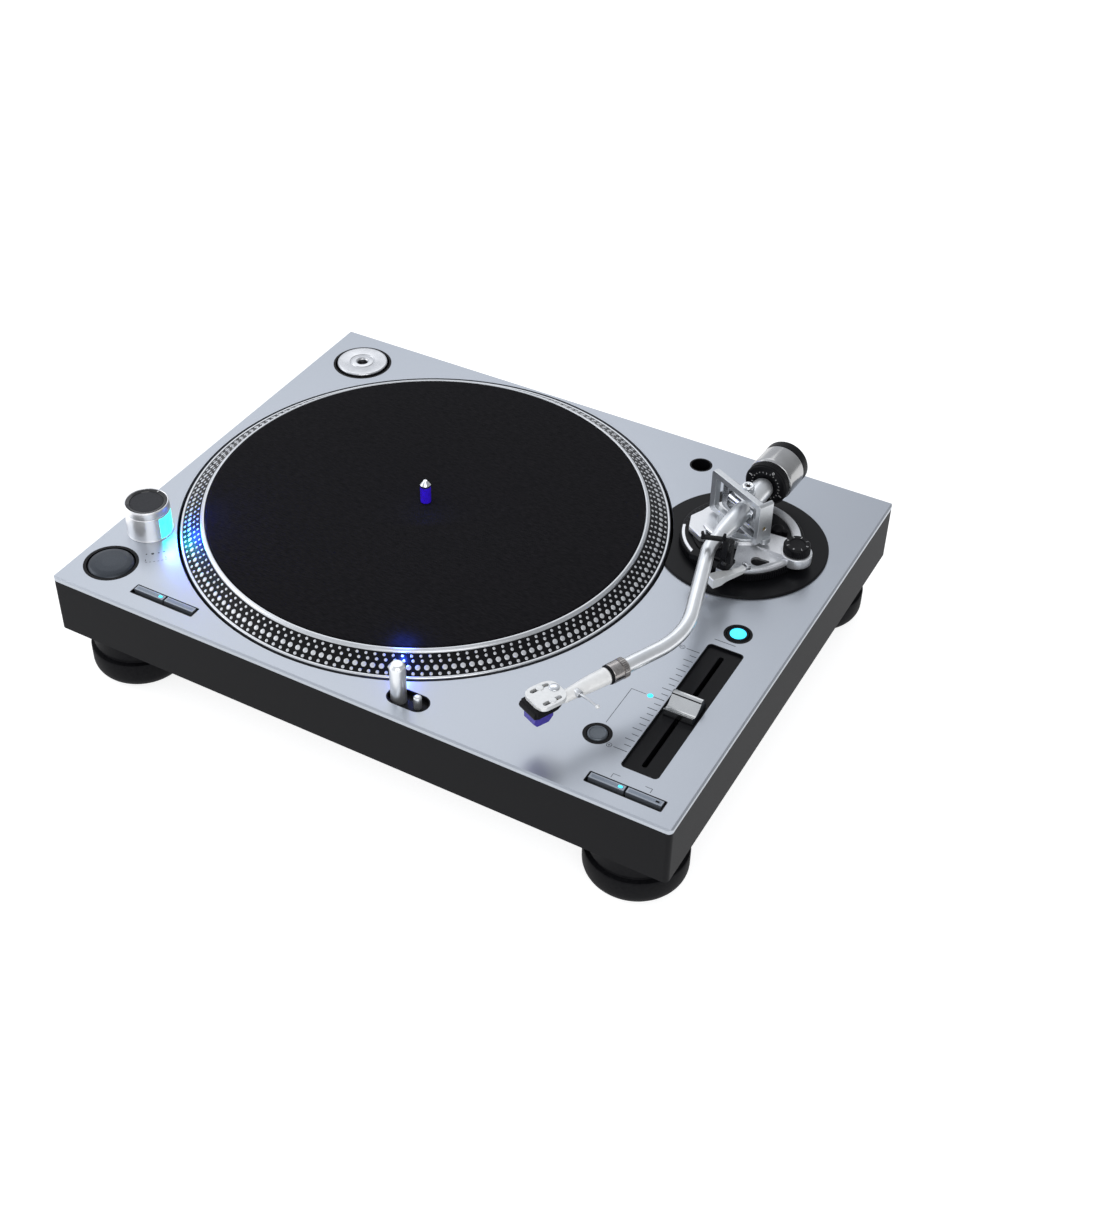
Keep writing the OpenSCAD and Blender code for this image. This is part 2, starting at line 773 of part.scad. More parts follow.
module gimbal_ring() {
  half = 3;
  color([0.70, 0.71, 0.73]) at_gimbal() difference() {
    union() {
      translate([0, -half, 0]) rotate([90, 0, 0]) mirror([0, 0, 1]) linear_extrude(2 * half)
        translate([(ring_w[0] + ring_w[1]) / 2, (ring_z[0] + ring_z[1]) / 2])
          rrect(ring_w[1] - ring_w[0], ring_z[1] - ring_z[0], 3);
      disc(2, 16.8, ring_z[0] + 1);
      disc(2, ring_z[1] - 1, 46.2);
    }
    translate([0, -half - 1, 0]) rotate([90, 0, 0]) mirror([0, 0, 1]) linear_extrude(2 * half + 2)
      translate([(ring_in[0] + ring_in[1]) / 2, (ring_inz[0] + ring_inz[1]) / 2])
        rrect(ring_in[1] - ring_in[0], ring_inz[1] - ring_inz[0], 2);
    translate([ring_w[0] + 1, 0, arm_z]) rotate([0, 90, 0])
      cylinder(r = 1.5 + fit, h = ring_w[1] - ring_w[0] - 2);
  }
}

rest_s = 43;                 // place of the arm's rest along the root
clip_z = arm_z + tube_r + 4.2;   // underside of the closed clip

module at_rest() {
  at_arm() rotate([0, 0, park_a]) translate([0, -rest_s, 0]) children();
}

module arm_rest() {
  low = arm_z - tube_r - 1.6;
  color([0.05, 0.05, 0.06]) at_rest() difference() {
    union() {
      box(6.4, 12.4, -4, 5, 12.6, arm_z + 3);
      box(-6.6, 12.4, -4, 4, low - 3, low);
      box(5.6, 7.6, -4, 4, low - 1, arm_z + 3);
      box(4, 12.4, -4, 9, 12.6, 15);
    }
    translate([10.2, 10, arm_z - 2]) rotate([90, 0, 0]) cylinder(r = 1.2 + fit, h = 20);
  }
}

module rest_clip() {
  color([0.05, 0.05, 0.06]) at_rest() {
    translate([10.2, 8.2, arm_z - 2]) rotate([90, 0, 0]) cylinder(r = 1.2, h = 16);
    translate([10.2, -5.3, arm_z - 2]) rotate([90, 0, 0]) cylinder(r = 3.4, h = 2.2);
    box(8.4, 12, -7.5, -5.3, arm_z - 2, clip_z + 1.6);
    box(-6.2, 12, -7.5, -4.4, clip_z, clip_z + 1.6);
    box(-6.8, -5.2, -7.5, -4.4, clip_z, clip_z + 3);
    box(11.9, 15.4, -7.5, -5.3, arm_z - 8, arm_z + 1);
  }
}

cue_p = [19, -38];           // middle of the cue lever's hinge
cue_a = -33;                 // direction of the cue lever from -Y
cue_z = 15.6;                // height of the cue lever's hinge

module at_cue() {
  at_arm() translate([cue_p[0], cue_p[1], 0]) rotate([0, 0, cue_a]) children();
}

module cue_lever() {
  color([0.80, 0.81, 0.83]) at_cue() difference() {
    union() {
      translate([-4, 0, cue_z]) rotate([0, 90, 0]) cylinder(r = 2.2, h = 8);
      box(-1.8, 1.8, -20, 0, cue_z - 2.2, cue_z + 0.6);
      box(-3.4, 3.4, -28, -19.5, cue_z - 6.6, cue_z + 0.6);
    }
    translate([0, -28, cue_z + 0.6]) rotate([45, 0, 0]) cube([9, 4, 4], center = true);
    translate([-5, 0, cue_z]) rotate([0, 90, 0]) cylinder(r = 1.15 + fit, h = 10);
  }
}

lift_r = 27.4;               // radius of the arm lifter's arc
lift_a = [-138, -111];       // ends of the arc, about the upright axis

module cue_platform() {
  top = arm_z - tube_r - 2.9;
  color([0.08, 0.08, 0.09]) at_arm() {
    rotate([0, 0, lift_a[0]]) translate([0, 0, top - 2.2]) rotate_extrude(angle = lift_a[1] - lift_a[0])
      translate([lift_r - 1.6, 0]) square([3.2, 2.2]);
    rotate([0, 0, (lift_a[0] + lift_a[1]) / 2]) translate([lift_r, 0, 0]) disc(2, 2.4, top - 1);
  }
}

module antiskate_dial() {
  color([0.08, 0.08, 0.09]) at_arm() translate([40.4, -5, 0]) difference() {
    union() {
      disc(2, 8, 14);
      disc(9, 13.5, 19.2);
      cone(9, 8.2, 19.2 - eps, 20);
    }
    for (a = [0:18:342]) rotate([0, 0, a]) translate([9.3, 0, 0]) disc(0.7, 14.5, 20.5);
  }
}

// ---- arm ----

module pipe(r, hollow = 1) {
  difference() {
    circle(r = r);
    circle(r = r - hollow);
  }
}

// a thin band over a joint of the pipe, across Y
module band(r, hollow) {
  rotate([90, 0, 0]) translate([0, 0, -0.3]) linear_extrude(0.6) pipe(r + 0.01, hollow + 0.02);
}

// the S-shaped pipe, after its straight root
module s_pipe(r, hollow) {
  // first bend, about a centre on the +X side
  translate([bend1_r, -root_l, 0]) rotate([0, 0, 180]) rotate_extrude(angle = bend1_a)
    translate([bend1_r, 0]) pipe(r, hollow);
  translate([0, -root_l, 0]) band(r, hollow);
  translate([mid_p[0], mid_p[1], 0]) rotate([0, 0, bend1_a]) {
    rotate([90, 0, 0]) linear_extrude(mid_l) pipe(r, hollow);
    band(r, hollow);
    translate([0, -mid_l, 0]) band(r, hollow);
  }
  // second bend, about a centre on the -X side
  translate([bend2_p[0], bend2_p[1], 0]) rotate([0, 0, bend1_a]) translate([-bend2_r, 0, 0])
    rotate([0, 0, -bend1_a - offset_a]) rotate_extrude(angle = bend1_a + offset_a)
      translate([bend2_r, 0]) pipe(r, hollow);
  translate([tail_p[0], tail_p[1], 0]) rotate([0, 0, -offset_a]) band(r, hollow);
}

module arm_tube() {
  sleeve_r = 6.6;
  color([0.82, 0.83, 0.85]) {
    at_tube() {
      s_pipe(tube_r, 1);
      difference() {
        union() {
          along(tube_r, tube_r, 30, root_l);
          along(sleeve_r - 1, sleeve_r - 1.6, 28, 35);
          along(sleeve_r, sleeve_r, 6, 28);
          along(7, sleeve_r, 4, 6);
        }
        along(tube_r - 1, tube_r - 1, 8, root_l + 0.1);
      }
      along(5, 6.5, -6, 4.01);
      along(7.4, 7.4, -dial_y + 4, -6);
      along(6.2, 7.4, -dial_y + 0.5, -dial_y + 4.01);
      along(3.6, 3.6, -72, -dial_y + 1);
    }
    at_gimbal() translate([0, 0, arm_z]) rotate([0, 90, 0]) {
      translate([0, 0, ring_in[0] + 0.4]) cylinder(r = 3.6, h = ring_in[1] - ring_in[0] - 0.8);
      translate([0, 0, ring_w[0] + 1.4]) cylinder(r = 1.5, h = ring_w[1] - ring_w[0] - 2.8);
    }
    at_tail() difference() {
      along(tube_r, tube_r, 0, collar_s + collar_l - 0.5);
      along(tube_r - 1, tube_r - 1, -1, collar_s + collar_l + 1);
    }
  }
}

module counterweight() {
  color([0.74, 0.74, 0.75]) at_tube() difference() {
    union() {
      along(15.2, 16, -weight_y - 1.2, -weight_y);
      along(16, 16, -weight_y - 22, -weight_y - 1.2 + eps);
      along(15, 15.6, -weight_y - 29, -weight_y - 22 + eps);
    }
    along(3.6 + fit, 3.6 + fit, -weight_y - 30, -weight_y + 1);
    along(10, 10, -weight_y - 30, -weight_y - 20);
  }
}

module force_dial() {
  color([0.06, 0.06, 0.07]) at_tube() difference() {
    union() {
      along(15.4, 14.6, -weight_y + gap, -dial_y - 0.8);
      along(14.6, 13.8, -dial_y - 0.8 - eps, -dial_y);
    }
    along(8.2, 8.2, -dial_y - 2, -dial_y + 1);
    along(3.6 + fit, 3.6 + fit, -weight_y - 1, -dial_y + 1);
  }
}

module headshell_collar() {
  ribs = 24;
  color([0.70, 0.70, 0.71]) at_tail() difference() {
    union() {
      along(5.6, 6.2, collar_s, collar_s + 1);
      along(6.2, 6.2, collar_s + 1 - eps, collar_s + collar_l);
    }
    along(tube_r + fit, tube_r + fit, collar_s - 1, collar_s + collar_l + 1);
    for (i = [0:ribs - 1]) rotate([0, i * 360 / ribs, 0]) translate([6.4, 0, 0])
      rotate([0, 45, 0]) box(-0.4, 0.4, -collar_s - 6, -collar_s - 1.6, -0.4, 0.4);
  }
}

module headshell() {
  x0 = shell_off - shell_w / 2;
  x1 = shell_off + shell_w / 2;
  color([0.88, 0.88, 0.87]) at_tail() {
    along(tube_r - 1 - fit, tube_r - 1 - fit, collar_s + 5, collar_s + collar_l + 1);
    along(5.9, 5.9, collar_s + collar_l + gap, collar_s + collar_l + 2.2);
    along(5, 4, collar_s + collar_l + 2.2 - eps, shell_s + 1);
    difference() {
      translate([shell_off, -shell_s - shell_l / 2, 0]) slab(shell_w, shell_l, 4, 1, 4);
      for (x = [-6.35, 6.35]) translate([shell_off + x, -shell_s - 11, 0]) slab(2.6, 13, 1.29, 0, 5);
    }
    intersection() {
      box(x0, x1, -shell_s - 1.2, -shell_s + 1, -4, 4);
      along(4, 4, shell_s - 1, shell_s + 2);
    }
    // finger lift
    box(3.4, 7, -shell_s + 4.2, -shell_s + 7.8, -1, 2);
    box(6.6, 18.6, -shell_s + 4.6, -shell_s + 7.4, 1, 2);
    translate([18.2, -shell_s + 6, 1]) rotate([0, -35, 0]) box(0, 3.4, -1.4, 1.4, 0, 1);
  }
}

module cartridge() {
  color([0.06, 0.06, 0.07]) at_tail() translate([shell_off, -shell_s - 15, 0]) {
    difference() {
      union() {
        slab(16.4, 17, 1, -2.5, 1 - eps);
        slab(15, 20, 1.5, -6.5, -1);
      }
      translate([0, -12, -7]) rotate([35, 0, 0]) cube([20, 4, 8], center = true);
      translate([0, 12, -7]) rotate([-50, 0, 0]) cube([20, 6, 9], center = true);
    }
    for (x = [-6.35, 6.35]) translate([x, 0, 0]) {
      disc(1.2, -4, 4.5);
      disc(2.2, 4.02, 5.6);
    }
  }
}

module stylus() {
  color([0.20, 0.15, 0.65]) at_tail() translate([shell_off, -stylus_s, 0]) {
    translate([0, -0.75, 0]) slab(10, 12.5, 1.5, -13, -6.5);
    cone(0.35, 0.7, -17, -12.9);
  }
}

// ---- feet ----

module foot(sx, sy) {
  edge_r = 4;
  color([0.11, 0.11, 0.12]) translate([sx * foot_x, sy * foot_y, 0]) rotate_extrude($fn = 96) {
    difference() {
      union() {
        translate([0, edge_r]) square([foot_r, cup_z - 1 - edge_r]);
        square([foot_r - edge_r, cup_z]);
        translate([foot_r - edge_r, edge_r]) circle(r = edge_r);
        translate([foot_r - 1, cup_z - 1]) circle(r = 1);
        square([26, groove_z]);
        square([4, foot_h + 9]);
      }
      translate([-10, -10]) square([10, 70]);
      translate([6, -1]) square([14, 3]);
    }
  }
}

module foot_fl() { foot(-1, -1); }
module foot_fr() { foot(1, -1); }
module foot_rl() { foot(-1, 1); }
module foot_rr() { foot(1, 1); }

plinth();
top_plate();
bottom_cover();
bottom_screws();
platter_well();
motor_base();
stator_coils();
spindle_bearing();
circuit_boards();
foot_necks();
rear_jacks();
power_inlet();
line_switch();
button_wells();
switch_bezels();
pitch_panel();
pitch_potentiometer();
centre_led();
target_well();
storage_wells();
strobe_pod();
strobe_window();
arm_mount();
start_button();
speed_button_33();
speed_button_45();
range_button_left();
range_button_right();
quartz_button();
reset_button();
pitch_knob();
target_lamp();
target_release();
power_knob();
adapter_45();
platter();
slipmat();
spindle();
rotor_magnet();
height_ring();
height_lock();
arm_base();
gimbal_yoke();
arm_rest();
rest_clip();
cue_lever();
cue_platform();
antiskate_dial();
gimbal_ring();
arm_tube();
counterweight();
force_dial();
headshell_collar();
headshell();
cartridge();
stylus();
foot_fl();
foot_fr();
foot_rl();
foot_rr();
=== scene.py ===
"""Record player: the looks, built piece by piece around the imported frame.

Shapes are written in millimetres in local frames and placed with matrices; meshes are stored in metres.
"""
import json
import math

import bmesh
import bpy
from mathutils import Matrix, Vector


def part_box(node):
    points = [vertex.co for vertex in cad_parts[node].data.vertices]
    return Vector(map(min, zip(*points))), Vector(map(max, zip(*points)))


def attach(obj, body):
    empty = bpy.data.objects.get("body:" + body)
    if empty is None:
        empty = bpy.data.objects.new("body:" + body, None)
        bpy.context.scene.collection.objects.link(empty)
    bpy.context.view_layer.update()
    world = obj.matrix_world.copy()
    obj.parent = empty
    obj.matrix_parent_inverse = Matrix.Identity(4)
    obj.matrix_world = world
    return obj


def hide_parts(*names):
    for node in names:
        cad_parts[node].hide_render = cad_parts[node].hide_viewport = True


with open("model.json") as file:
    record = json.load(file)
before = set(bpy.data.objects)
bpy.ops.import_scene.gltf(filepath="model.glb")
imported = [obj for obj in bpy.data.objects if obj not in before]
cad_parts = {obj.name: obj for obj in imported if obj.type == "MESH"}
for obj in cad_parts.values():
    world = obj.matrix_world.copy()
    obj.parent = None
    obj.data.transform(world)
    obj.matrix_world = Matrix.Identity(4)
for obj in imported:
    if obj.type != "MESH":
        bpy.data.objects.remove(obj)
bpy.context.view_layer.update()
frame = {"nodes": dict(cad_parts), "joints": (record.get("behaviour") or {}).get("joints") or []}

MM = 0.001
QUARTER = math.pi / 2
SHARP_A = 35                                    # degrees between faces that still look like one
BEVEL_A = 40                                    # degrees between faces whose edge is rounded
JOINTS = {joint["name"]: joint for joint in frame["joints"]}
NODES = frame["nodes"]


# ---------------- places

def box_mm(node):
    """Lowest and highest corner of a CAD node, in millimetres."""
    low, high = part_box(node)
    return low / MM, high / MM


def centre_mm(node):
    low, high = box_mm(node)
    return (low + high) / 2


def joint_mm(name):
    return Vector(JOINTS[name]["pos_m"]) / MM


def heading(vector):
    """Angle about Z that turns -Y onto the vector."""
    return math.atan2(vector[1], vector[0]) + QUARTER


def shift(x, y, z=0.0):
    return Matrix.Translation((x, y, z))


def turn(angle, axis="Z"):
    return Matrix.Rotation(angle, 4, axis)


def polar(r, angle):
    return r * math.cos(angle), r * math.sin(angle)


def on_deck(node):
    """Frame at the top plate's face above a CAD node's middle."""
    middle = centre_mm(node)
    return shift(middle.x, middle.y, TOP)


HERE = Matrix.Identity(4)
FACE_RIGHT = turn(QUARTER, "Y")                 # stands a shape's Z along +X
FACE_FRONT = turn(QUARTER, "X")                 # stands a shape's Z along -Y
FACE_BACK = turn(-QUARTER, "X")                 # stands a shape's Z along +Y
TOP = box_mm("top_plate")[1].z                  # upper face of the top plate
PLATE = shift(0, 0, TOP)
SPIN = joint_mm("platter_spin")
AT_SPIN = shift(SPIN.x, SPIN.y, TOP)
AT_TOWER = on_deck("power_knob")
PIVOT = joint_mm("arm_swing")
ARM_Z = PIVOT.z - TOP                           # tilt axis above the top plate
TUBE_R = 4.75
AT_ARM = shift(PIVOT.x, PIVOT.y, TOP)
GIMBAL_A = heading([-c for c in JOINTS["arm_tilt"]["axis"]]) - QUARTER
PARK_A = heading([-c for c in JOINTS["weight_turn"]["axis"]])
TAIL_A = heading(JOINTS["headshell_pull"]["axis"])
AT_GIMBAL = AT_ARM @ turn(GIMBAL_A)
AT_TUBE = shift(PIVOT.x, PIVOT.y, PIVOT.z) @ turn(PARK_A)
AT_BACK = AT_TUBE @ FACE_BACK                   # z runs to the counterweight
COLLAR_S = 31.0                                 # collar's middle along the tail
COLLAR = joint_mm("collar_turn")
AT_TAIL = shift(COLLAR.x, COLLAR.y, COLLAR.z) @ turn(TAIL_A) @ shift(0, COLLAR_S)
AT_NECK = AT_TAIL @ FACE_FRONT                  # z runs to the headshell
REST_S = 43.0                                   # the arm's rest along the root
AT_REST = AT_ARM @ turn(PARK_A) @ shift(0, -REST_S)
DIAL = (40.4, -5.0)                             # anti-skating dial from the arm's axis
AT_DIAL = AT_ARM @ shift(*DIAL)
CUE = joint_mm("cue_turn")
CUE_Z = CUE.z - TOP
AT_CUE = shift(CUE.x, CUE.y, TOP) @ turn(math.radians(-33))


# ---------------- camera, light, floor

def look():
    camera_data = bpy.data.cameras.new("camera")
    camera_data.sensor_fit = "HORIZONTAL"
    camera_data.sensor_width = 36.0
    camera_data.lens = 58.42
    camera_data.shift_x = 0.0371
    camera_data.shift_y = -0.0235
    camera = bpy.data.objects.new("camera", camera_data)
    camera.location = (0.47915, -0.80843, 0.82235)
    camera.rotation_euler = [math.radians(a) for a in (50.507, -0.169, 29.858)]
    bpy.context.scene.collection.objects.link(camera)
    bpy.context.scene.camera = camera


def area_light(name, place, target, size, power, colour=(1, 1, 1), unit=1.0):
    place, target = Vector(place) * unit, Vector(target) * unit
    data = bpy.data.lights.new(name, "AREA")
    data.shape = "RECTANGLE"
    data.size, data.size_y = size[0] * unit, size[1] * unit
    data.energy = power
    data.color = colour
    light = bpy.data.objects.new(name, data)
    light.location = place
    light.rotation_euler = (target - place).to_track_quat("-Z", "Y").to_euler()
    bpy.context.scene.collection.objects.link(light)


def set_inputs(node, values):
    for name, value in values.items():
        node.inputs[name].default_value = value
    return node


def two_tone(tree, low, high, start=0.0, end=1.0):
    ramp = tree.nodes.new("ShaderNodeValToRGB")
    for stop, position, colour in zip(ramp.color_ramp.elements, (start, end), (low, high)):
        stop.position = position
        stop.color = (*colour, 1)
    return ramp


def studio():
    """A pale floor, an even pale surround and broad soft lights."""
    scene = bpy.context.scene
    scene.view_settings.view_transform = "Standard"
    scene.world = bpy.data.worlds.new("surround")
    scene.world.use_nodes = True
    tree = scene.world.node_tree
    background = set_inputs(tree.nodes["Background"], {"Strength": 0.95})
    where = tree.nodes.new("ShaderNodeTexCoord")
    split = tree.nodes.new("ShaderNodeSeparateXYZ")
    ramp = two_tone(tree, (0.90, 0.93, 0.99), (0.43, 0.44, 0.455))
    spread = set_inputs(tree.nodes.new("ShaderNodeMapRange"), {"From Min": -0.75, "From Max": 0.65})
    for source, target in ((where.outputs["Generated"], split.inputs[0]),
                           (split.outputs["X"], spread.inputs["Value"]),
                           (spread.outputs[0], ramp.inputs[0]),
                           (ramp.outputs[0], background.inputs["Color"])):
        tree.links.new(source, target)
    aim = (0, 0, 0.05)
    area_light("key", (-1.2, 1.5, 1.9), aim, (1.8, 1.2), 5.5)
    area_light("side", (-1.6, -0.6, 0.9), aim, (1.2, 0.9), 5)
    area_light("fill", (0.9, -1.3, 1.0), aim, (1.4, 0.9), 9)

    bm = bmesh.new()
    bmesh.ops.create_grid(bm, x_segments=8, y_segments=8, size=4.0)
    mesh = bpy.data.meshes.new("floor")
    bm.to_mesh(mesh)
    bm.free()
    floor = bpy.data.objects.new("floor", mesh)
    scene.collection.objects.link(floor)
    mat = bpy.data.materials.new("pale_floor")
    mat.use_nodes = True
    set_inputs(mat.node_tree.nodes["Principled BSDF"], {
        "Base Color": (0.5, 0.5, 0.5, 1), "Roughness": 0.9, "Specular IOR Level": 0.0,
        "Emission Color": (1, 1, 1, 1), "Emission Strength": 0.8})
    mesh.materials.append(mat)


def glows():
    """Blue light that the tower's window and the target lamp throw on the platter, and one at the spindle."""
    tower = centre_mm("power_knob")
    for name, angle, z, reach, size, power, colour in (
            ("glow_near", 0, 7, 16.6, (8, 7), 0.0032, (0.05, 0.9, 1.0)),
            ("glow_rim", 24, 15, 18.5, (8, 10), 0.034, (0.02, 0.055, 1.0)),
            ("glow_low", -14, 14, 18.0, (10, 8), 0.0022, (0.35, 0.28, 1.0))):
        out = Vector((*polar(1, math.radians(angle)), 0))
        place = Vector((tower.x, tower.y, TOP + z)) + out * reach
        area_light(name, place, place + out * 30 + Vector((0, 0, -9)), size, power, colour, MM)
    lamp = centre_mm("target_lamp")
    inward = (SPIN - lamp).normalized()
    for name, reach, height, size in (("glow_lip", 24, 12, 3), ("glow_haze", 36, 16, 12)):
        place = Vector((lamp.x + inward.x * reach, lamp.y + inward.y * reach, TOP + height))
        area_light(name, place, place - Vector((0, 0, 9)), (size, size), 0.006, (0.03, 0.10, 1.0), MM)
    area_light("glow_pin", (SPIN.x + 14, SPIN.y - 22, TOP + 22), (SPIN.x, SPIN.y, TOP + 16), (5, 5), 0.002,
               (0.05, 0.12, 1.0), MM)


# ---------------- materials

def material(name, dark, light, metallic=0.0, rough=(0.4, 0.5), grain=600, bump=0.0, bump_grain=None,
             stretch=(1, 1, 1), detail=4.0, coat=0.0, specular=0.5, sheen=0.0):
    """Two-tone noise colour, noise roughness and a noise bump; grain is in waves per metre."""
    mat = bpy.data.materials.new(name)
    mat.use_nodes = True
    tree = mat.node_tree
    link = tree.links.new
    shader = set_inputs(tree.nodes["Principled BSDF"], {
        "Metallic": metallic, "Coat Weight": coat, "Specular IOR Level": specular, "Sheen Weight": sheen})
    where = tree.nodes.new("ShaderNodeTexCoord")
    scale = set_inputs(tree.nodes.new("ShaderNodeMapping"), {"Scale": stretch})
    link(where.outputs["Object"], scale.inputs["Vector"])
    noise = set_inputs(tree.nodes.new("ShaderNodeTexNoise"), {"Scale": grain, "Detail": detail})
    link(scale.outputs[0], noise.inputs["Vector"])
    ramp = two_tone(tree, dark, light, 0.3, 0.7)
    link(noise.outputs["Fac"], ramp.inputs[0])
    link(ramp.outputs[0], shader.inputs["Base Color"])
    vary = set_inputs(tree.nodes.new("ShaderNodeMapRange"), {"To Min": rough[0], "To Max": rough[1]})
    link(noise.outputs["Fac"], vary.inputs["Value"])
    link(vary.outputs[0], shader.inputs["Roughness"])
    if bump:
        fine = set_inputs(tree.nodes.new("ShaderNodeTexNoise"), {"Scale": bump_grain or grain, "Detail": 3.0})
        link(scale.outputs[0], fine.inputs["Vector"])
        relief = set_inputs(tree.nodes.new("ShaderNodeBump"), {"Strength": 1.0, "Distance": bump * MM})
        link(fine.outputs["Fac"], relief.inputs["Height"])
        link(relief.outputs[0], shader.inputs["Normal"])
    return mat


def lit(name, colour, strength):
    """A lit lens, or a painted glow on a part that holds no lamp: an emission whose colour drifts a little.
    """
    mat = material(name, [c * 0.7 for c in colour], colour, rough=(0.2, 0.3), grain=300)
    nodes = mat.node_tree.nodes
    shader = set_inputs(nodes["Principled BSDF"], {"Emission Strength": strength})
    mat.node_tree.links.new(nodes["Color Ramp"].outputs[0], shader.inputs["Emission Color"])
    return mat


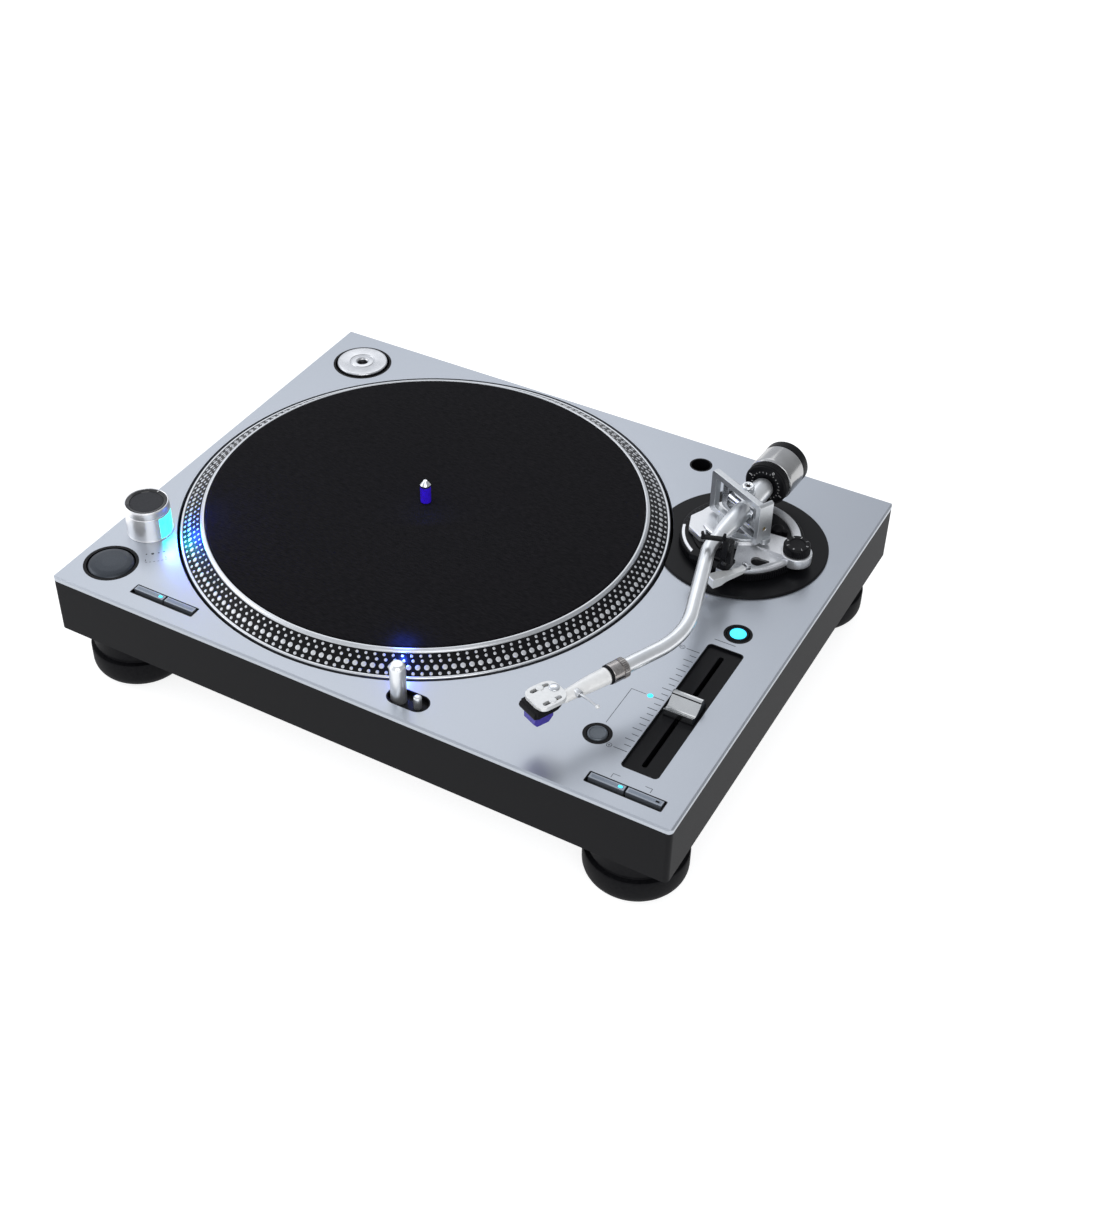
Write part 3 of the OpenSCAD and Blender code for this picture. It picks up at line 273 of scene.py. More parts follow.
# Each row: name, dark and light tone, metallic, roughness range, grain, depth and grain of the bump.
MATS = {
    "deck": material("deck_silver", (0.43, 0.46, 0.505), (0.49, 0.52, 0.57), 0.85, (0.3, 0.38), 2600, 0.006,
        3500),
    "plinth": material("plinth_charcoal", (0.004, 0.004, 0.005), (0.008, 0.008, 0.009), 0, (0.45, 0.6), 1800,
        0.02, 1500, specular=0.09),
    "cover": material("cover_black", (0.01, 0.01, 0.011), (0.02, 0.02, 0.022), 0, (0.6, 0.75), 900, 0.08,
        1200, specular=0.15),
    "rubber": material("foot_rubber", (0.003, 0.003, 0.004), (0.007, 0.007, 0.008), 0, (0.5, 0.65), 500, 0.02,
        1600, specular=0.08),
    "black": material("moulded_black", (0.003, 0.003, 0.004), (0.007, 0.007, 0.008), 0, (0.35, 0.5), 900,
        0.01, 2500, specular=0.14),
    "black_metal": material("satin_black_metal", (0.003, 0.003, 0.004), (0.006, 0.006, 0.007), 0, (0.3, 0.42),
        1500, 0.006, 3000, specular=0.14),
    "felt": material("mat_felt", (0.004, 0.004, 0.005), (0.014, 0.013, 0.015), 0, (0.85, 0.98), 700, 0.25,
        1500, stretch=(0.3, 1.8, 1), detail=8, sheen=0.03, specular=0.04),
    "band": material("band_black", (0.003, 0.003, 0.004), (0.006, 0.006, 0.007), 0, (0.3, 0.45), 1200, 0.006,
        2500, specular=0.14),
    "polished": material("polished_metal", (0.66, 0.68, 0.71), (0.76, 0.78, 0.8), 1, (0.12, 0.18), 300),
    "turned": material("turned_metal", (0.55, 0.56, 0.58), (0.68, 0.69, 0.71), 1, (0.26, 0.29), 120),
    "satin": material("satin_metal", (0.6, 0.62, 0.64), (0.7, 0.71, 0.73), 1, (0.27, 0.36), 1400, 0.003,
        2600),
    "arm": material("arm_silver", (0.78, 0.8, 0.82), (0.87, 0.89, 0.91), 0.85, (0.28, 0.3), 120),
    "shell": material("shell_silver", (0.74, 0.75, 0.75), (0.82, 0.83, 0.83), 0.35, (0.3, 0.4), 500),
    "charcoal_cap": material("charcoal_cap", (0.045, 0.052, 0.062), (0.068, 0.076, 0.088), 0.75, (0.32, 0.42),
        2200, 0.004, 3000),
    "key": material("key_grey", (0.26, 0.29, 0.33), (0.34, 0.37, 0.42), 0.8, (0.28, 0.38), 1600, 0.003, 2600),
    "ink_white": material("ink_white", (0.62, 0.62, 0.62), (0.75, 0.75, 0.75), 0, (0.5, 0.6), 800),
    "ink_grey": material("ink_grey", (0.05, 0.06, 0.07), (0.09, 0.1, 0.11), 0, (0.5, 0.6), 800),
    "board": material("board_green", (0.02, 0.12, 0.05), (0.04, 0.2, 0.09), 0, (0.35, 0.5), 400),
    "brass": material("bearing_brass", (0.62, 0.45, 0.2), (0.75, 0.58, 0.28), 1, (0.25, 0.35), 700),
    "copper": material("winding_copper", (0.5, 0.22, 0.1), (0.68, 0.32, 0.15), 1, (0.3, 0.4), 1500, 0.05,
        stretch=(1, 1, 4)),
    "ferrite": material("ferrite", (0.03, 0.03, 0.033), (0.06, 0.06, 0.065), 0, (0.6, 0.7), 900),
    "steel": material("plated_steel", (0.42, 0.42, 0.43), (0.54, 0.54, 0.55), 1, (0.25, 0.4), 900),
    "stylus": material("stylus_violet", (0.03, 0.02, 0.22), (0.06, 0.04, 0.38), 0, (0.15, 0.25), 300,
        coat=0.4),
    "key_face": material("key_face", (0.17, 0.2, 0.24), (0.24, 0.27, 0.32), 0.8, (0.3, 0.4), 1600, 0.003,
        2600),
    "tower": material("tower_satin", (0.88, 0.88, 0.89), (0.94, 0.94, 0.95), 0.8, (0.27, 0.31), 200,
        stretch=(1, 1, 0.2)),
    # A lighter, less metallic copy of the shell's silver for the brightly lit neck: painted highlight.
    "neck": material("neck_painted_highlight", (0.86, 0.86, 0.85), (0.93, 0.93, 0.92), 0.1, (0.3, 0.36), 300),
    "fader": material("fader_metal", (0.6, 0.61, 0.61), (0.68, 0.69, 0.69), 1, (0.2, 0.23), 60),
    "cap_face": material("cap_face", (0.022, 0.023, 0.027), (0.034, 0.035, 0.04), 0, (0.4, 0.5), 900,
        specular=0.2),
    "reset_face": material("reset_face", (0.1, 0.115, 0.13), (0.13, 0.145, 0.165), 0.75, (0.32, 0.42), 1600),
    "weight_steel": material("weight_steel", (0.4, 0.4, 0.4), (0.46, 0.46, 0.46), 1, (0.18, 0.21), 90),
    "gloss_black": material("gloss_black", (0.006, 0.006, 0.007), (0.012, 0.012, 0.013), 0, (0.08, 0.14), 700,
        specular=0.6),
    "casting": material("cast_silver", (0.68, 0.69, 0.71), (0.8, 0.81, 0.83), 0.85, (0.3, 0.4), 1300, 0.006,
        2400),
    "cast_satin": material("yoke_satin", (0.52, 0.54, 0.56), (0.64, 0.66, 0.68), 0.9, (0.3, 0.4), 1500, 0.005,
        2600),
    "cast_dark": material("gimbal_satin", (0.4, 0.41, 0.43), (0.5, 0.51, 0.53), 1, (0.22, 0.32), 1500, 0.003,
        2600),
    "ink_dark": material("ink_dark", (0.02, 0.022, 0.03), (0.05, 0.055, 0.065), 0, (0.5, 0.6), 800),
    "blue": lit("lit_blue", (0.12, 0.35, 1), 3),
    # Painted glow: an emission for the blue light reflected on the spindle, which holds no lamp.
    "deep_blue": lit("painted_spindle_glow_blue", (0.03, 0.008, 0.4), 0.4),
    "cyan": lit("lit_cyan", (0.05, 0.66, 1), 1.3),
    "collar": material("collar_metal", (0.34, 0.32, 0.31), (0.44, 0.42, 0.41), 1, (0.18, 0.28), 900),
    "dot": material("dot_silver", (0.62, 0.63, 0.65), (0.72, 0.73, 0.75), 0.6, (0.3, 0.4), 800),
    "window": lit("lit_window", (0.04, 0.9, 0.85), 3),
    "white_plastic": material("white_plastic", (0.62, 0.62, 0.6), (0.72, 0.72, 0.7), 0, (0.3, 0.4), 600),
}

# The look of every CAD node; the frame shows the nodes that no piece replaces.
CAD_LOOKS = {
    "deck": "top_plate", "plinth": "plinth", "cover": "bottom_cover", "steel": "bottom_screws motor_base",
    "black_metal": "platter_well pitch_panel arm_mount power_knob height_ring antiskate_dial force_dial",
    "copper": "stator_coils", "brass": "spindle_bearing", "board": "circuit_boards",
    "rubber": "foot_necks foot_fl foot_fr foot_rl foot_rr", "white_plastic": "line_switch",
    "black": "rear_jacks power_inlet button_wells switch_bezels pitch_potentiometer target_well "
             "storage_wells height_lock arm_rest rest_clip cue_platform cartridge",
    "cyan": "centre_led quartz_button", "window": "strobe_window",
    "satin": "strobe_pod arm_base gimbal_yoke cue_lever gimbal_ring headshell_collar",
    "charcoal_cap": "start_button reset_button",
    "key": "speed_button_33 speed_button_45 range_button_left range_button_right",
    "polished": "pitch_knob target_lamp target_release platter spindle", "turned": "adapter_45 counterweight",
    "felt": "slipmat", "ferrite": "rotor_magnet", "arm": "arm_tube", "shell": "headshell", "stylus": "stylus",
}


def dress_frame():
    for look_name, nodes in CAD_LOOKS.items():
        for node in nodes.split():
            mesh = NODES[node].data
            mesh.materials.clear()
            mesh.materials.append(MATS[look_name])


# ---------------- mesh tools

def add_piece(name, bm, look_name, body, place, slot=None, replaces=None, bevel=0.0, segments=2,
              sharp=SHARP_A):
    """Turns a bmesh in millimetres into a piece that rides on a CAD body."""
    bmesh.ops.remove_doubles(bm, verts=bm.verts, dist=1e-4)
    bmesh.ops.recalc_face_normals(bm, faces=bm.faces)
    mesh = bpy.data.meshes.new(name)
    bm.transform(Matrix.Scale(MM, 4) @ place)
    bm.to_mesh(mesh)
    bm.free()
    mesh.materials.append(MATS[look_name])
    mesh.shade_smooth()
    mesh.set_sharp_from_angle(angle=math.radians(sharp))
    obj = bpy.data.objects.new(name, mesh)
    bpy.context.scene.collection.objects.link(obj)
    if bevel:
        edge = obj.modifiers.new("edges", "BEVEL")
        edge.width = bevel * MM
        edge.segments = segments
        edge.limit_method = "ANGLE"
        edge.angle_limit = math.radians(BEVEL_A)
        edge.harden_normals = True
    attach(obj, body)
    if replaces:
        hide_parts(replaces)
    return obj


def skin(bm, rings):
    """Quads between closed rings of vertices that follow each other."""
    for low, high in zip(rings, rings[1:]):
        for i in range(len(low)):
            j = (i + 1) % len(low)
            bm.faces.new((low[i], low[j], high[j], high[i]))


def lathe(profile, segments=96, closed=False):
    """Turns (radius, height) points about Z."""
    bm = bmesh.new()
    angles = [2 * math.pi * i / segments for i in range(segments)]
    rings = []
    for r, z in profile:
        spots = [(*polar(r, a), z) for a in angles] if r > 1e-6 else [(0, 0, z)]
        rings.append([bm.verts.new(spot) for spot in spots])
    if closed:
        rings.append(rings[0])
    for low, high in zip(rings, rings[1:]):
        for i in range(segments):
            j = (i + 1) % segments
            corners = [low[i % len(low)], low[j % len(low)], high[j % len(high)], high[i % len(high)]]
            unique = list(dict.fromkeys(corners))
            if len(unique) > 2:
                bm.faces.new(unique)
    return bm


def rod(r, z0, z1, segments=24):
    return lathe([(0, z0), (r, z0), (r, z1), (0, z1)], segments)


def soften(points, radius, steps=3):
    """Rounds the inner corners of an open profile."""
    out = [points[0]]
    for before, at, after in zip(points, points[1:], points[2:]):
        a, b, c = Vector(before), Vector(at), Vector(after)
        reach = min(radius, (a - b).length * 0.45, (c - b).length * 0.45)
        start, end = b + (a - b).normalized() * reach, b + (c - b).normalized() * reach
        for i in range(steps + 1):
            t = i / steps
            out.append(tuple(start * (1 - t) ** 2 + b * 2 * t * (1 - t) + end * t ** 2))
    out.append(points[-1])
    return out


def kit(body, slot, look_name, place):
    """Two builders, for a mesh and for a turned profile, whose pieces share a body, look and place; the slot
    argument is not used.
    """
    def put(name, bm, look=look_name, at=HERE, **more):
        return add_piece(name, bm, look, body, place @ at, slot, **more)

    def spin(name, profile, look=look_name, at=HERE, radius=0.3, segments=96, **more):
        return put(name, lathe(soften(profile, radius), segments), look, at, **more)
    return put, spin


def circle(r, x=0.0, y=0.0, steps=48, start=0.0, span=360.0):
    count = steps if span >= 360 else steps + 1
    angles = [math.radians(start + span * i / steps) for i in range(count)]
    return [(x + r * math.cos(a), y + r * math.sin(a)) for a in angles]


def round_rect(w, d, r, x=0.0, y=0.0, steps=6):
    out = []
    for sx, sy, start in ((1, 1, 0), (-1, 1, 90), (-1, -1, 180), (1, -1, 270)):
        out += circle(r, x + sx * (w / 2 - r), y + sy * (d / 2 - r), steps, start, 90)
    return out


def stadium(length, r):
    """A slot along X, between centres that are length apart."""
    return circle(r, length / 2, 0, 12, -90, 180) + circle(r, -length / 2, 0, 12, 90, 180)


def toothed(r, depth, count):
    return [polar(radius, 2 * math.pi * (i + part) / count) for i in range(count)
            for part, radius in ((0, r - depth), (0.25, r), (0.6, r), (0.85, r - depth))]


def prism(outline, z0, z1, bm=None):
    bm = bm if bm is not None else bmesh.new()
    low, high = ([bm.verts.new((x, y, z)) for x, y in outline] for z in (z0, z1))
    bm.faces.new(list(reversed(low)))
    bm.faces.new(high)
    skin(bm, [low, high])
    return bm


def pad(w, d, r, z0, z1, x=0.0, y=0.0, steps=6):
    return prism(round_rect(w, d, r, x, y, steps), z0, z1)


def block(x0, x1, y0, y1, z0, z1, bm=None):
    return prism([(x0, y0), (x1, y0), (x1, y1), (x0, y1)], z0, z1, bm)


def moved(bm, place):
    bm.transform(place)
    return bm


def standing(outline, y0, y1):
    """A slab whose outline stands in the XZ plane."""
    return moved(prism(outline, -y1, -y0), FACE_FRONT)


def across(side, reach, triangles=False):
    """Runs a closed (y, z) outline across X, between the two ends that reach gives for a y."""
    bm = bmesh.new()
    rings = [[bm.verts.new((reach(y)[end], y, z)) for y, z in side] for end in (0, 1)]
    skin(bm, rings)
    for ring in rings:
        face = bm.faces.new(ring)
        if triangles:
            bmesh.ops.triangulate(bm, faces=[face])
    return bm


def sector(profile, a0, a1, steps=48):
    """Turns a closed (radius, height) outline from one angle to another, with end faces."""
    bm = bmesh.new()
    rings = []
    for i in range(steps + 1):
        a = math.radians(a0 + (a1 - a0) * i / steps)
        rings.append([bm.verts.new((*polar(r, a), z)) for r, z in profile])
    skin(bm, rings)
    bm.faces.new(rings[0])
    bm.faces.new(list(reversed(rings[-1])))
    return bm


def frame_slab(w, z, n, inner_w, inner_z, outer_r, inner_r):
    """An upright rectangular frame in the gimbal's frame, as a closed ring of quads."""
    bm = bmesh.new()
    loops = []
    for (w0, w1), (z0, z1), r in ((w, z, outer_r), (inner_w, inner_z, inner_r)):
        outline = round_rect(w1 - w0, z1 - z0, r, (w0 + w1) / 2, (z0 + z1) / 2, 8)
        loops.append([[bm.verts.new((x, y, h)) for x, h in outline] for y in n])
    outer, inner = loops
    for pair in (outer, inner, (outer[0], inner[0]), (outer[1], inner[1])):
        skin(bm, pair)
    return bm


def sweep(path, segments=32):
    """Runs a circle along a flat path of (x, y, z, radius)."""
    bm = bmesh.new()
    rings = []
    for i, (x, y, z, r) in enumerate(path):
        before, after = path[max(i - 1, 0)], path[min(i + 1, len(path) - 1)]
        ahead = (Vector(after[:3]) - Vector(before[:3])).normalized()
        side = ahead.cross(Vector((0, 0, 1))).normalized()
        up = side.cross(ahead)
        angles = [2 * math.pi * k / segments for k in range(segments)]
        rings.append([bm.verts.new(Vector((x, y, z)) + r * (side * math.cos(a) + up * math.sin(a)))
                      for a in angles])
    skin(bm, rings)
    bm.faces.new(list(reversed(rings[0])))
    bm.faces.new(rings[-1])
    return bm


def stroke(bm, x0, y0, x1, y1, width=0.35):
    """A printed line."""
    a, b = Vector((x0, y0)), Vector((x1, y1))
    side = (b - a).normalized().orthogonal() * (width / 2)
    prism([tuple(a - side), tuple(b - side), tuple(b + side), tuple(a + side)], 0.0, 0.03, bm)


def tick(bm, r0, r1, a, width):
    """A printed line along a radius."""
    stroke(bm, *polar(r0, a), *polar(r1, a), width)


def digit(name, text, size, body, place, depth):
    """A generic numeral as a thin solid, centred on the frame's origin and facing its +Z."""
    curve = bpy.data.curves.new(name, "FONT")
    curve.body = text
    curve.size = size
    curve.extrude = depth / 2
    curve.resolution_u = 3
    curve.align_x, curve.align_y = "CENTER", "CENTER"
    source = bpy.data.objects.new(name + "_curve", curve)
    bpy.context.scene.collection.objects.link(source)
    bpy.context.view_layer.update()
    mesh = bpy.data.meshes.new_from_object(source)
    bpy.data.objects.remove(source)
    bpy.data.curves.remove(curve)
    bm = bmesh.new()
    bm.from_mesh(mesh)
    bpy.data.meshes.remove(mesh)
    add_piece(name, bm, "ink_white", body, place)


def cut(piece, bm):
    """Takes a closed bmesh, in millimetres in the world frame, out of a piece."""
    bm.transform(Matrix.Scale(MM, 4))
    bmesh.ops.recalc_face_normals(bm, faces=bm.faces)
    mesh = bpy.data.meshes.new("cutter")
    bm.to_mesh(mesh)
    bm.free()
    tool = bpy.data.objects.new("cutter", mesh)
    bpy.context.scene.collection.objects.link(tool)
    step = piece.modifiers.new("cut", "BOOLEAN")
    step.operation = "DIFFERENCE"
    step.solver = "EXACT"
    step.object = tool
    edges = [m for m in piece.modifiers if m.type == "BEVEL"]
    for edge in edges:
        edge.show_viewport = False
    bpy.context.view_layer.update()
    graph = bpy.context.evaluated_depsgraph_get()
    result = bpy.data.meshes.new_from_object(piece.evaluated_get(graph))
    piece.modifiers.remove(step)
    old = piece.data
    piece.data = result
    bpy.data.meshes.remove(old)
    for edge in edges:
        edge.show_viewport = True
    bpy.data.objects.remove(tool)
    bpy.data.meshes.remove(mesh)
    piece.data.shade_smooth()
    piece.data.set_sharp_from_angle(angle=math.radians(SHARP_A))


look()
studio()
glows()
dress_frame()


# ---------------- platter

LIP_R = 167
BAND_OUT = (165, 0.3)
BAND_IN = (152.9, 8.7)
MAT_R = 149.3
MAT_Z = box_mm("slipmat")[1].z - TOP


def platter_metal():
    profile = [(20, -3), (22.5, 0.1), (158.5, 0.1), (162.4, -0.6), (162.6, -6.9), (LIP_R - 0.3, -6.9),
               (LIP_R, -6.4), (LIP_R, 0.1), (LIP_R - 0.5, 0.7), (165.3, 0.75), (165.1, 0.1),
               (152.8, 8.5), (152.5, 9.3), (151.2, 10.5), (150.1, 10.6), (149.7, 10.2), (149.6, 8),
               (20, 8), (20, -3)]
    _, spin = kit("platter", "platter", "satin", AT_SPIN)
    spin("platter_metal", profile, radius=0.25, segments=360, replaces="platter")
    spin("platter_band", [(165.05, 0.2), BAND_OUT, BAND_IN, (152.7, 8.6)], "band", radius=0.05, segments=360)


def platter_dots():
    """Four rings of raised dots on the sloping band."""
    rows = [(0.125, 170, 0.98, 0), (0.34, 174, 1.06, 0.5), (0.62, 180, 1.72, 0), (0.887, 186, 1.12, 0.5)]
    slope = math.atan2(BAND_IN[1] - BAND_OUT[1], BAND_OUT[0] - BAND_IN[0])
    bm = bmesh.new()
    for along, count, r, offset in rows:
        radius = BAND_IN[0] + (BAND_OUT[0] - BAND_IN[0]) * along
        height = BAND_IN[1] + (BAND_OUT[1] - BAND_IN[1]) * along
        for i in range(count):
            place = turn(2 * math.pi * (i + offset) / count) @ shift(radius, 0, height) @ turn(slope, "Y")
            rings = [[bm.verts.new(place @ Vector((x, y, z))) for x, y in circle(r * part, steps=14)]
                     for part, z in ((1, -0.02), (0.93, 0.16), (0.62, 0.26))]
            skin(bm, rings)
            bm.faces.new(rings[-1])
    add_piece("platter_dots", bm, "dot", "platter", AT_SPIN, "platter", sharp=60)


def slipmat_and_spindle():
    profile = [(3.9, MAT_Z - 0.3), (4.4, MAT_Z), (MAT_R - 0.9, MAT_Z), (MAT_R - 0.1, MAT_Z - 0.5),
               (MAT_R, MAT_Z - 2.9), (3.9, MAT_Z - 2.9), (3.9, MAT_Z - 0.3)]
    _, spin = kit("platter", "mat", "felt", AT_SPIN)
    spin("slipmat_felt", profile, radius=0.4, segments=256, replaces="slipmat")
    tip = box_mm("spindle")[1].z - TOP
    _, spin = kit("platter", "spindle", "polished", AT_SPIN)
    spin("spindle_pin", [(0, MAT_Z - 3), (3.5, MAT_Z - 3), (3.5, tip - 4.4), (2.5, tip - 2.4),
                         (1.1, tip - 0.3), (0, tip)], radius=0.7, segments=48)
    # A thin emitting sleeve paints a blue reflection on the chrome spindle: painted light, not a lamp.
    spin("spindle_glow", [(3.62, MAT_Z + 0.1), (3.68, MAT_Z + 0.2), (3.68, tip - 4.6), (3.62, tip - 4.4)],
         "deep_blue", radius=0.05, segments=48)


# ---------------- feet

def feet():
    foot_r, lowest, corner = 32.8, 0.4, 10
    bottom = [(foot_r - corner + corner * math.sin(a), lowest + corner - corner * math.cos(a))
              for a in (math.radians(10 * i) for i in range(10))]
    profile = [(0, 0), (19, 0), (20, lowest)] + bottom + [
        (foot_r, 20.8), (32.3, 21.7), (31, 22), (29.4, 22.3), (28.9, 23.2), (28.9, 24.8), (4, 24.8),
        (4, 48), (0, 48)]
    for name in ("foot_fl", "foot_fr", "foot_rl", "foot_rr"):
        middle = centre_mm(name)
        put, spin = kit(name, "feet", "rubber", shift(middle.x, middle.y))
        put(name + "_cup", lathe(profile, 128), replaces=name, sharp=30)
        spin(name + "_tread", [(22.5, 0.3), (23, 0.02), (26, 0.02), (26.5, 0.9)], "black")


# ---------------- strobe tower

def tower():
    _, spin = kit("chassis", "tower", "tower", AT_TOWER)
    body = [(12.8, 0.03), (15.75, 0.03), (15.75, 0.75), (15.45, 1), (15.2, 17.7), (14.9, 18), (12.8, 18),
            (12.8, 0.03)]
    piece = spin("tower_body", body, radius=0.25, segments=160, replaces="strobe_pod")
    window_start, window_span = -22, 104
    window = [circle(r, steps=24, start=window_start, span=window_span) for r in (19, 9)]
    cut(piece, moved(prism(window[0] + window[1][::-1], 1.2, 17), AT_TOWER))
    spin("tower_floor", [(0, 0.1), (12.7, 0.1), (12.7, 1.4), (0, 1.4)], "satin")
    put, spin = kit("power_knob", "power_cap", "tower", AT_TOWER)
    spin("knob_skirt", [(4, -8.9), (4, 18.15), (14.9, 18.15), (15.15, 18.3), (15, 22.9), (14.7, 23.6),
         (14.3, 23.8), (13.9, 23.5), (13.8, 22), (0, 22)], radius=0.2, segments=160,
         replaces="power_knob")
    spin("knob_ring", [(13.75, 22.1), (13.7, 23.5), (13.2, 23.6), (11.5, 23.1), (11.2, 22.6)],
         "gloss_black", radius=0.1, segments=160)
    spin("knob_inset", [(11.3, 22.4), (11.2, 22.8), (10.6, 22.95), (0, 22.7)], "cap_face", radius=0.1,
         segments=128)
    put("knob_pointer", block(-0.4, 0.4, 11.9, 13.3, 23.4, 23.65), "ink_white")


# ---------------- buttons, keys, fader

def button(node, look_name, profile, slot="keys"):
    _, spin = kit(node, slot, look_name, on_deck(node))
    spin(node + "_cap", profile, radius=0.5, segments=128, replaces=node)


def buttons():
    button("start_button", "charcoal_cap", [(0, 2.5), (6, 2.3), (11, 1.7), (14, 0.9), (15.3, -0.3),
                                            (15.8, -2), (15.8, -5.4), (0, -5.4)], "start_cap")
    button("quartz_button", "black", [(0, 0.3), (5.3, 0.3), (5.6, 0.7), (6.6, 0.5), (7.15, -0.3), (7.2, -1),
                                      (7.2, -4.4), (0, -4.4)])
    _, spin = kit("quartz_button", "lit_cap", "cyan", on_deck("quartz_button"))
    spin("quartz_lens", [(0, 1), (3, 0.95), (4.8, 0.75), (5.35, 0.4), (5.4, 0.2)], radius=0.2)
    button("reset_button", "reset_face", [(0, 0.65), (4.7, 0.65), (5, 1), (5.8, 0.9), (6.35, 0.1),
                                          (6.4, -0.8), (6.4, -4.4), (0, -4.4)])


def key_cap(node, led=False, mark=False):
    low, high = box_mm(node)
    w, d = high.x - low.x - 0.5, high.y - low.y - 1
    place = on_deck(node)
    put, _ = kit(node, "keys", "key", place)
    body = block(-w / 2, w / 2, -d / 2, d / 2, -4.4, 0.9)
    for v in body.verts:
        if v.co.z > 0 and v.co.y < 0:
            v.co.y += 0.9
    put(node + "_cap", body, replaces=node, bevel=0.25, segments=3)
    put(node + "_face", pad(w - 2.2, d - 3, 0.35, 0.8, 0.97, 0, 0.45), "key_face", bevel=0.06)
    if led:
        lens = pad(2.9, 2, 0.8, 0.85, 1.12, w / 2 - 3, 0.4)
        add_piece(node + "_led", lens, "cyan", node, place, "lit_cap", bevel=0.15)
    if mark:
        put(node + "_mark", pad(2.4, 1.3, 0.3, 0.9, 1.02, w / 2 - 3.4, 0.4), "black")


def keys():
    key_cap("speed_button_33", led=True)
    key_cap("speed_button_45")
    key_cap("range_button_left", led=True)
    key_cap("range_button_right", mark=True)


def fader():
    half, cheek_w = 9.7, 0.25
    dip = [(-9.2 + 11.4 * t, 2.6 + 1.2 * (1 - t) - 2.2 * math.sin(math.pi * t ** 0.8) + 3.6 * t ** 2)
           for t in (i / 16 for i in range(17))]
    side = [(-9.6, -1.2), (-9.7, 2.6), (-9.5, 3.6)] + dip + [
        (2.7, 7), (3.4, 7.35), (5.6, 7.3), (6.2, 6.7), (5.8, 5.9), (5.2, 5.2), (7.4, 3.4), (9.4, 1.4),
        (9.4, -1.2)]
    put, _ = kit("pitch_fader", "fader_cap", "fader", on_deck("pitch_knob"))
    put("fader_knob", across(side, lambda y: (-half, half)), replaces="pitch_knob", bevel=0.25, sharp=30)
    # The cheeks are thin sheets of darker charcoal on both side faces: painted shade on the knob's sides.
    for name, x in (("left", -half - cheek_w), ("right", half)):
        put("fader_cheek_" + name, across(side, lambda y, x=x: (x, x + cheek_w)), "charcoal_cap")
    # A black strip along the crease under the crest: painted shade.
    put("fader_groove", block(-half, half, 2.15, 2.75, 5.9, 6.85), "black")
    put("fader_stem", block(-4, 4, -3.4, 3.4, -15.1, -10.1, block(-1.1, 1.1, -2.8, 2.8, -13.4, -1.1)),
        "steel")


def scale_print():
    """The fader's scale with its end marks, and the lines that frame the reset and range buttons."""
    bm = bmesh.new()
    middle = centre_mm("pitch_panel").y
    edge = box_mm("pitch_panel")[0].x + 1.2
    for i in range(-10, 11):
        y = middle + 5 * i
        reach = 9 if i in (-10, 10) else (6.4 if i % 2 == 0 else 4.4)
        if i == 0:
            reach = edge - centre_mm("centre_led").x - 3
        stroke(bm, edge - 0.8 - reach, y, edge - 0.8, y, 0.5)
    reset, led = centre_mm("reset_button"), centre_mm("centre_led")
    stroke(bm, reset.x, reset.y + 11, reset.x, led.y)
    stroke(bm, reset.x, led.y, led.x - 3, led.y)
    key = centre_mm("range_button_left")
    y0, y1 = key.y + 5.2, key.y + 8.6
    x0, x1 = key.x - 0.2, key.x + 25
    stroke(bm, x0, y0, x0, y1)
    stroke(bm, x0, y1, x0 + 4.6, y1)
    stroke(bm, x1 - 4.6, y1, x1, y1)
    stroke(bm, x1, y0, x1, y1)
    quartz = centre_mm("quartz_button")
    stroke(bm, quartz.x - 11, quartz.y - 11.6, quartz.x + 3.4, quartz.y - 11.6, 0.5)
    put, _ = kit("chassis", "deck", "ink_dark", PLATE)
    put("deck_lines", bm)
    for name, sign in (("plus", -1), ("minus", 1)):
        mark = lathe([(1.45, 0.005), (1.45, 0.04), (1.8, 0.04), (1.8, 0.005)], 32, True)
        stroke(mark, -0.9, 0, 0.9, 0)
        if name == "plus":
            stroke(mark, 0, -0.9, 0, 0.9)
        put("scale_" + name, mark, at=shift(edge - 12.6, middle + 50 * sign))


def tower_print():
    """Dots and a dashed arc for the knob's positions."""
    bm = bmesh.new()
    for angle, r in ((-57, 0.55), (-48.5, 1), (-40, 0.55), (-32.5, 0.6)):
        prism(circle(r, *polar(27.5, math.radians(angle)), 20), 0, 0.04, bm)
    for i in range(6):
        a0, a1 = math.radians(-57 + 4.2 * i), math.radians(-55 + 4.2 * i)
        stroke(bm, *polar(36, a0), *polar(36, a1), 0.4)
    for angle in (-57, -34.2):
        tick(bm, 33, 35, math.radians(angle), 0.4)
    add_piece("tower_marks", bm, "ink_dark", "chassis", AT_TOWER, "deck")


# ---------------- target lamp, adapter

